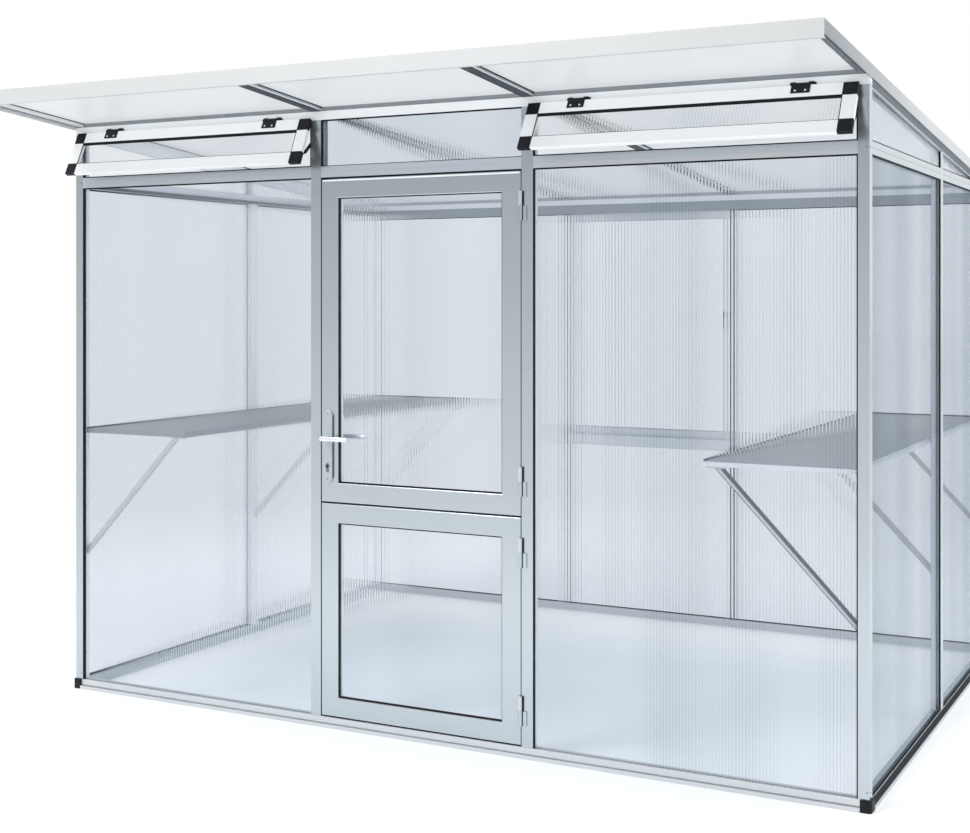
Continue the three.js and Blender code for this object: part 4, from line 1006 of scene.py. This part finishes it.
def top_rails():
    """Front top rail with its seal to the roof, and a painted highlight on the step of the right front head
    rail
    """
    bar, strips, step = Shape(), Shape(), Shape()
    bar.prism([
        (0, TOP_RAIL_BOTTOM), *TOP_GROOVE, (BAR, TOP_RAIL_BOTTOM), (BAR, roof_line(BAR)), (0, ROOF_EDGE),
    ], "X", 0, WALL_WIDTH)
    bar.piece("front_top_rail_bar", pale_bar, "frame", "bright_aluminium", ["front_top_rail"])
    x0, x1 = FRONT_RIGHT_BAY
    # Painted highlight on the step of the right front head rail
    step.block(x0 + 0.5, x1 - 1, -0.4, 0.2, HEAD_BOTTOM + 2, HEAD_BOTTOM + 14)
    step.piece("front_head_step_highlight", sill_bar, "frame", "aluminium")
    under_sheets(strips, 10, 26)
    strips.piece("front_roof_seal", seal_grey, "frame", "black_plastic", ["front_top_rail"])


# Shelves

SHELF_NEAR = 36.6
SHELF_FAR = 530.6
SHELF_FRONT = 20
SHELF_BACK = 2240
SHELF_TOP = 1028
SHELF_UNDER = 1011
RIM_TOP = 1033
BRACE_PLACES = (20.3, 1122.3, 2224.3)
BRACE_DEPTH = 15.4
BRACE_FOOT = 530
BRACE_WIDTH = 28
BRACE_TOP = 1007
BRACE_RISE = (1027 - 558) / 448


def shelves():
    """Trays with rims, painted shade on the rims' inner faces, and three sloping braces each, whose lit
    band runs between two shaded ones
    """
    for side in ("left", "right"):
        def across(*places):
            return sorted(x if side == "left" else WALL_WIDTH - x for x in places)
        node = [f"{side}_shelf"]
        tray, lips, rim_shade, braces, brace_recess_shade = (Shape() for _ in range(5))
        low, high = across(SHELF_NEAR, SHELF_FAR)
        tray.block(low, high, SHELF_FRONT, SHELF_BACK, SHELF_TOP - 2, SHELF_TOP, 0.6)
        tray.piece(f"{side}_shelf_tray", shelf_bar, "frame", "shelf_aluminium", node)
        y0, y1 = SHELF_FRONT + 2.2, SHELF_BACK - 2.2
        for span in (
            (low, high, SHELF_FRONT, SHELF_FRONT + 2), (low, high, SHELF_BACK - 2, SHELF_BACK),
            (low, low + 2, y0, y1), (high - 2, high, y0, y1),
        ):
            lips.block(*span, SHELF_UNDER, SHELF_TOP - 2.2, 0.5)
        rim = (SHELF_TOP - 0.3, RIM_TOP, 0.4)
        # Each rim gets painted shade on its inner face
        for x, shade_x in ((SHELF_NEAR, SHELF_NEAR + 2), (SHELF_FAR - 2, SHELF_FAR - 2.9)):
            lips.block(*across(x, x + 2), SHELF_FRONT + 0.2, SHELF_BACK - 0.2, *rim)
            rim_shade.block(*across(shade_x, shade_x + 0.9), 20.5, 2237.5, SHELF_TOP - 0.2, RIM_TOP + 0.2)
        lips.block(low, high, SHELF_BACK - 2, SHELF_BACK - 0.2, *rim)
        rim_shade.block(low + 3, high - 3, 2237, 2238.2, SHELF_TOP - 0.2, RIM_TOP + 0.2)
        # Painted light: the right shelf's lips get a lighter tone than the left's
        lip = shelf_lip if side == "right" else shelf_bar
        lips.piece(f"{side}_shelf_lips", lip, "frame", "shelf_aluminium", node)
        rim_shade.piece(f"{side}_shelf_rim_shade", shade_bar, "frame", "shelf_aluminium", node)
        for place in BRACE_PLACES:
            # On the right front brace the two recessed bands also get painted shade
            shaded = brace_recess_shade if side == "right" and place == BRACE_PLACES[0] else braces
            for first, second, inset, target in (
                (0.0, 0.14, 0.5, shaded), (0.14, 0.6, 0, braces), (0.6, 1.0, 1.5, shaded),
            ):
                bottom, top = BRACE_FOOT + BRACE_WIDTH * first, BRACE_FOOT + BRACE_WIDTH * second
                reach, shorter = (BRACE_TOP - bottom) / BRACE_RISE, (BRACE_TOP - top) / BRACE_RISE
                outline = ((0, bottom), (reach, BRACE_TOP), (shorter, BRACE_TOP), (0, top))
                corners = [(*across(SHELF_NEAR + x), z) for x, z in outline]
                target.prism(corners, "Y", place + inset, place + BRACE_DEPTH)
            tip = across(SHELF_NEAR + 425, SHELF_NEAR + 483)
            braces.block(*tip, place, place + BRACE_DEPTH, 1005, SHELF_UNDER - 0.2, 0.8)
        braces.piece(f"{side}_shelf_braces", brace_bar, "frame", "shelf_aluminium", node)
        if side == "right":
            brace_recess_shade.piece("right_brace_recess_shade", shade_bar, "frame", "shelf_aluminium", node)


# Rear window

WINDOW = (1153, 1975, 868, 1966)
WINDOW_RAIL = 44
WINDOW_HINGE = (1146, 2268)
WINDOW_HINGE_LEVELS = (1021.7, 1812.3)
GRIP_X, GRIP_Y, GRIP_Z = 1949, 2231, 1470
GRIP_RINGS = ((1477, 0.4), (1475, 0.8), (1468, 1.0), (1440, 0.95), (1404, 0.9), (1400, 0.7), (1399, 0.3))
ROUND = [2 * math.pi * step / 20 for step in range(20)]


def window():
    sash, seal, knuckles, handle = (Shape() for _ in range(4))
    sides = (WINDOW_RAIL, WINDOW_RAIL, WINDOW_RAIL)
    sash.ring(*WINDOW, WALL_DEPTH + 0.5, WALL_DEPTH + 16.5, *sides, rounding=1.4)
    sash.piece("window_sash", window_bar, "window", "white_aluminium", ["window_frame"])
    x0, x1, z0, z1 = WINDOW
    opening = (x0 + WINDOW_RAIL, x1 - WINDOW_RAIL, z0 + WINDOW_RAIL, z1 - WINDOW_RAIL)
    for y in (WALL_DEPTH + 13.8, WALL_DEPTH + 1):
        seal.ring(*opening, y, y + 2.2, 3, 3, 3)
    seal.piece("window_gasket", seal_pale, "window", "black_plastic", ["window_frame"])
    x, y = WINDOW_HINGE
    for z in WINDOW_HINGE_LEVELS:
        knuckles.barrel((x, y, z), 6, 22, "Z")
        knuckles.block(x, x + 14, y, y + 6, z - 11, z + 11, 0.8)
    knuckles.piece("window_knuckles", window_bar, "window", "white_aluminium", ["window_frame"])
    handle.barrel((GRIP_X, GRIP_Y + 25, GRIP_Z), 11, 8, "Y", 28)
    handle.barrel((GRIP_X, GRIP_Y + 15, GRIP_Z), 6.5, 16, "Y", 24)
    handle.loft([
        [(GRIP_X + 7 * share * math.cos(a), GRIP_Y + 5.5 * share * math.sin(a), z) for a in ROUND]
        for z, share in GRIP_RINGS
    ])
    handle.barrel((GRIP_X, GRIP_Y + 31, GRIP_Z), 3.9, 20, "Y")
    handle.piece("window_handle_grip", black_part, "window_handle", "black_plastic", ["window_handle"])


# Screws

def screw_tree():
    """Round heads on every point of a mesh, with the radius, the height and the material as inputs"""
    tree = bpy.data.node_groups.new("screw heads", "GeometryNodeTree")
    face = tree.interface
    for label, kind in (
        ("Geometry", "Geometry"), ("Head radius", "Float"), ("Head height", "Float"), ("Tilt", "Vector"),
        ("Finish", "Material"),
    ):
        face.new_socket(label, in_out="INPUT", socket_type=f"NodeSocket{kind}")
    face.new_socket("Geometry", in_out="OUTPUT", socket_type="NodeSocketGeometry")
    given, result, head, spread, single, finish = (tree.nodes.new(kind) for kind in (
        "NodeGroupInput", "NodeGroupOutput", "GeometryNodeMeshCylinder", "GeometryNodeInstanceOnPoints",
        "GeometryNodeRealizeInstances", "GeometryNodeSetMaterial",
    ))
    head.inputs["Vertices"].default_value = 14
    for source, output, target, entry in (
        (given, "Head radius", head, "Radius"), (given, "Head height", head, "Depth"),
        (given, "Geometry", spread, "Points"), (head, "Mesh", spread, "Instance"),
        (given, "Tilt", spread, "Rotation"), (spread, "Instances", single, "Geometry"),
        (single, "Geometry", finish, "Geometry"), (given, "Finish", finish, "Material"),
        (finish, "Geometry", result, "Geometry"),
    ):
        tree.links.new(source.outputs[output], target.inputs[entry])
    return tree


SCREW_TREE = screw_tree()


def screws(name, points, radius, height, tilt, material, body, turn=AS_DRAWN):
    """Screw heads centred on points in wall millimetres"""
    dots = bpy.data.meshes.new(f"{name} points")
    dots.from_pydata([TO_FRAME @ turn @ Vector(point) for point in points], [], [])
    holder = stand(f"{name} points", dots)
    heads = holder.modifiers.new("screw heads", "NODES")
    heads.node_group = SCREW_TREE
    wanted = {"Head radius": radius / 1000, "Head height": height / 1000, "Tilt": tilt, "Finish": material}
    for item in SCREW_TREE.interface.items_tree:
        if item.in_out == "INPUT" and item.name in wanted:
            heads[item.identifier] = wanted[item.name]
    seen = holder.evaluated_get(bpy.context.evaluated_depsgraph_get())
    data = bpy.data.meshes.new_from_object(seen)
    data.name = name
    bpy.data.objects.remove(holder)
    declare(stand(name, data), body)


FACING_FRONT = (math.pi / 2, 0, 0)
FACING_SIDE = (0, math.pi / 2, 0)
CORNER_LEVELS = (1998, 60)


def all_screws():
    for side, (x0, _, opened, _, _) in VENTS.items():
        points = [
            (x0 + place + along, SASH_FRONT - 3.3, -29) for place in HINGE_PLACES for along in (-16, 16)
        ]
        tilt = (math.pi / 2 - math.radians(opened), 0, 0)
        turn = tipped(VENT_AXIS, opened)
        screws(f"vent_{side}_screws", points, 3.4, 1.4, tilt, bright_steel, f"vent_{side}", turn)
    corners = [(x, -0.3, z) for x in (27, WALL_WIDTH - 8) for z in CORNER_LEVELS]
    corners += [(x, WALL_DEPTH + 0.3, z) for x in (8, WALL_WIDTH - 8) for z in (1975, 60)]
    sides = [
        (x, y, z) for x in (-0.3, WALL_WIDTH + 0.3) for y in (10, WALL_DEPTH - 10) for z in CORNER_LEVELS
    ]
    plates = [(PLATE_X, y, z) for y in (-7.6, 37.6) for z in (1128, 894)]
    screws("corner_screws", corners, 3.0, 1.2, FACING_FRONT, shade_steel, "frame")
    screws("side_screws", sides, 3.0, 1.2, FACING_SIDE, shade_steel, "frame")
    screws("handle_plate_screws", plates, 3.2, 1.0, FACING_FRONT, shade_steel, "door_upper")


wall_gaskets()
sills_and_feet()
door()
door_seals()
vent_seals()
gable_gaskets()
rafters_and_verges()
rear_rails()
door_handle()
vents()
top_rails()
shelves()
window()
all_screws()


# Stage, light and camera

def make_world():
    """White backdrop for what is seen, and a soft studio room for light and reflections"""
    world = bpy.data.worlds.new("studio")
    bpy.context.scene.world = world
    world.use_nodes = True
    room = Graph(world.node_tree)
    seen = room.node("ShaderNodeLightPath", output="Is Camera Ray")
    passed = room.node("ShaderNodeLightPath", output="Is Transmission Ray")
    heading = room.node("ShaderNodeTexCoord", output="Generated")
    axes = room.node("ShaderNodeSeparateXYZ", None, {0: heading}).socket.node
    sideways, forwards, upwards = (Wire(room, axes.outputs[i]) for i in range(3))
    walls = room.ramp(upwards * 0.5 + 0.5, [
        (0.42, (1, 1, 1, 1)), (0.56, (0.58, 0.59, 0.60, 1)), (1.0, (1, 1, 1, 1)),
    ])
    behind = (forwards * 1.1 + sideways * 0.7 + 0.35).clamped()
    shade = room.blend(behind, walls, (1.25, 1.25, 1.25, 1))
    lit = room.node("ShaderNodeBackground", None, {"Color": shade, "Strength": 0.85})
    white = room.node("ShaderNodeBackground", None, {"Color": (1, 1, 1, 1)})
    both = room.node("ShaderNodeMixShader", None, {0: seen.most(passed), 1: lit, 2: white})
    room.end("ShaderNodeOutputWorld", both)


FLOOR_SHADED_INSIDE = (0.63, 0.71, 0.745, 1)
FLOOR_OUTSIDE = (0.85, 0.855, 0.86, 1)
FLOOR_NEAR = 3.2
FLOOR_FADE = 2.6
FLOOR_REACH = 60
HAZE_FROM = 9
HAZE_RUN = 13


def make_floor():
    """Pale floor with painted shade, darker and cooler inside the walls, that fades into the white backdrop
    with the distance
    """
    made = Finish("studio floor")
    _, axes = made.place()
    away = (axes[0] ** 2.0 + axes[1] ** 2.0) ** 0.5
    # Painted shade: the floor is darker and bluer inside the walls
    from_walls = (axes[0].magnitude() - 1.5).most(axes[1].magnitude() - 1.1)
    outside = ((from_walls + 0.55) / 0.6).clamped()
    surface = made.principled(
        Base_Color=made.blend(outside, FLOOR_SHADED_INSIDE, FLOOR_OUTSIDE), Roughness=0.9, Specular_IOR_Level=0.2,
        Emission_Color=(1, 1, 1, 1), Emission_Strength=0.26,
    )
    bounced = made.node("ShaderNodeLightPath", output="Is Glossy Ray")
    mirrored = bounced * (1 - made.node("ShaderNodeLightPath", output="Is Transmission Ray"))
    haze = ((away - HAZE_FROM) / HAZE_RUN).clamped()
    strength = 1 - mirrored * haze * 0.17
    glow = made.node("ShaderNodeEmission", None, {"Color": (1, 1, 1, 1), "Strength": strength})
    far = ((away - FLOOR_NEAR) / FLOOR_FADE).clamped()
    material = made.finish(made.node("ShaderNodeMixShader", None, {0: far, 1: surface, 2: glow}))
    data = bpy.data.meshes.new("studio floor")
    ends = (-FLOOR_REACH, FLOOR_REACH)
    corners = [(ends[0], ends[0], 0), (ends[1], ends[0], 0), (ends[1], ends[1], 0), (ends[0], ends[1], 0)]
    data.from_pydata(corners, [], [(0, 1, 2, 3)])
    data.materials.append(material)
    floor = stand("studio_floor", data)


def soft_lamp(name, at, towards, size, power, mirrored=True):
    data = bpy.data.lights.new(name, "AREA")
    data.shape = "SQUARE"
    data.size = size
    data.energy = power
    lamp = stand(name, data)
    lamp.location = at
    lamp.visible_camera = False
    lamp.visible_transmission = False
    lamp.visible_glossy = mirrored
    lamp.rotation_euler = (Vector(towards) - Vector(at)).to_track_quat("-Z", "Y").to_euler()


CAMERA_AT = (4.179 - 1.5645, -4.4985 - 0.890, 1.5436)
CAMERA_TURN = 27.582
LENS = 55.44
SHIFT = -0.122


def make_camera():
    data = bpy.data.cameras.new("camera")
    data.sensor_width = 36
    data.lens = LENS
    data.shift_y = SHIFT
    camera = stand("camera", data)
    camera.location = CAMERA_AT
    camera.rotation_euler = (math.radians(90), 0, math.radians(CAMERA_TURN))
    bpy.context.scene.camera = camera


make_world()
make_floor()
soft_lamp("high lamp", (-2.5, -5.5, 6.0), (0, 0, 1), 3, 230)
soft_lamp("right lamp", (7.0, 0.5, 3.5), (0, 0, 1), 4, 110)
soft_lamp("low lamp", (0.5, -7.5, 0.6), (-0.3, -0.6, 2.2), 3, 120, mirrored=False)
make_camera()
scene = bpy.context.scene
scene.view_settings.view_transform = "Standard"
scene.cycles.transparent_max_bounces = 48
scene.cycles.transmission_bounces = 16
scene.cycles.max_bounces = 16
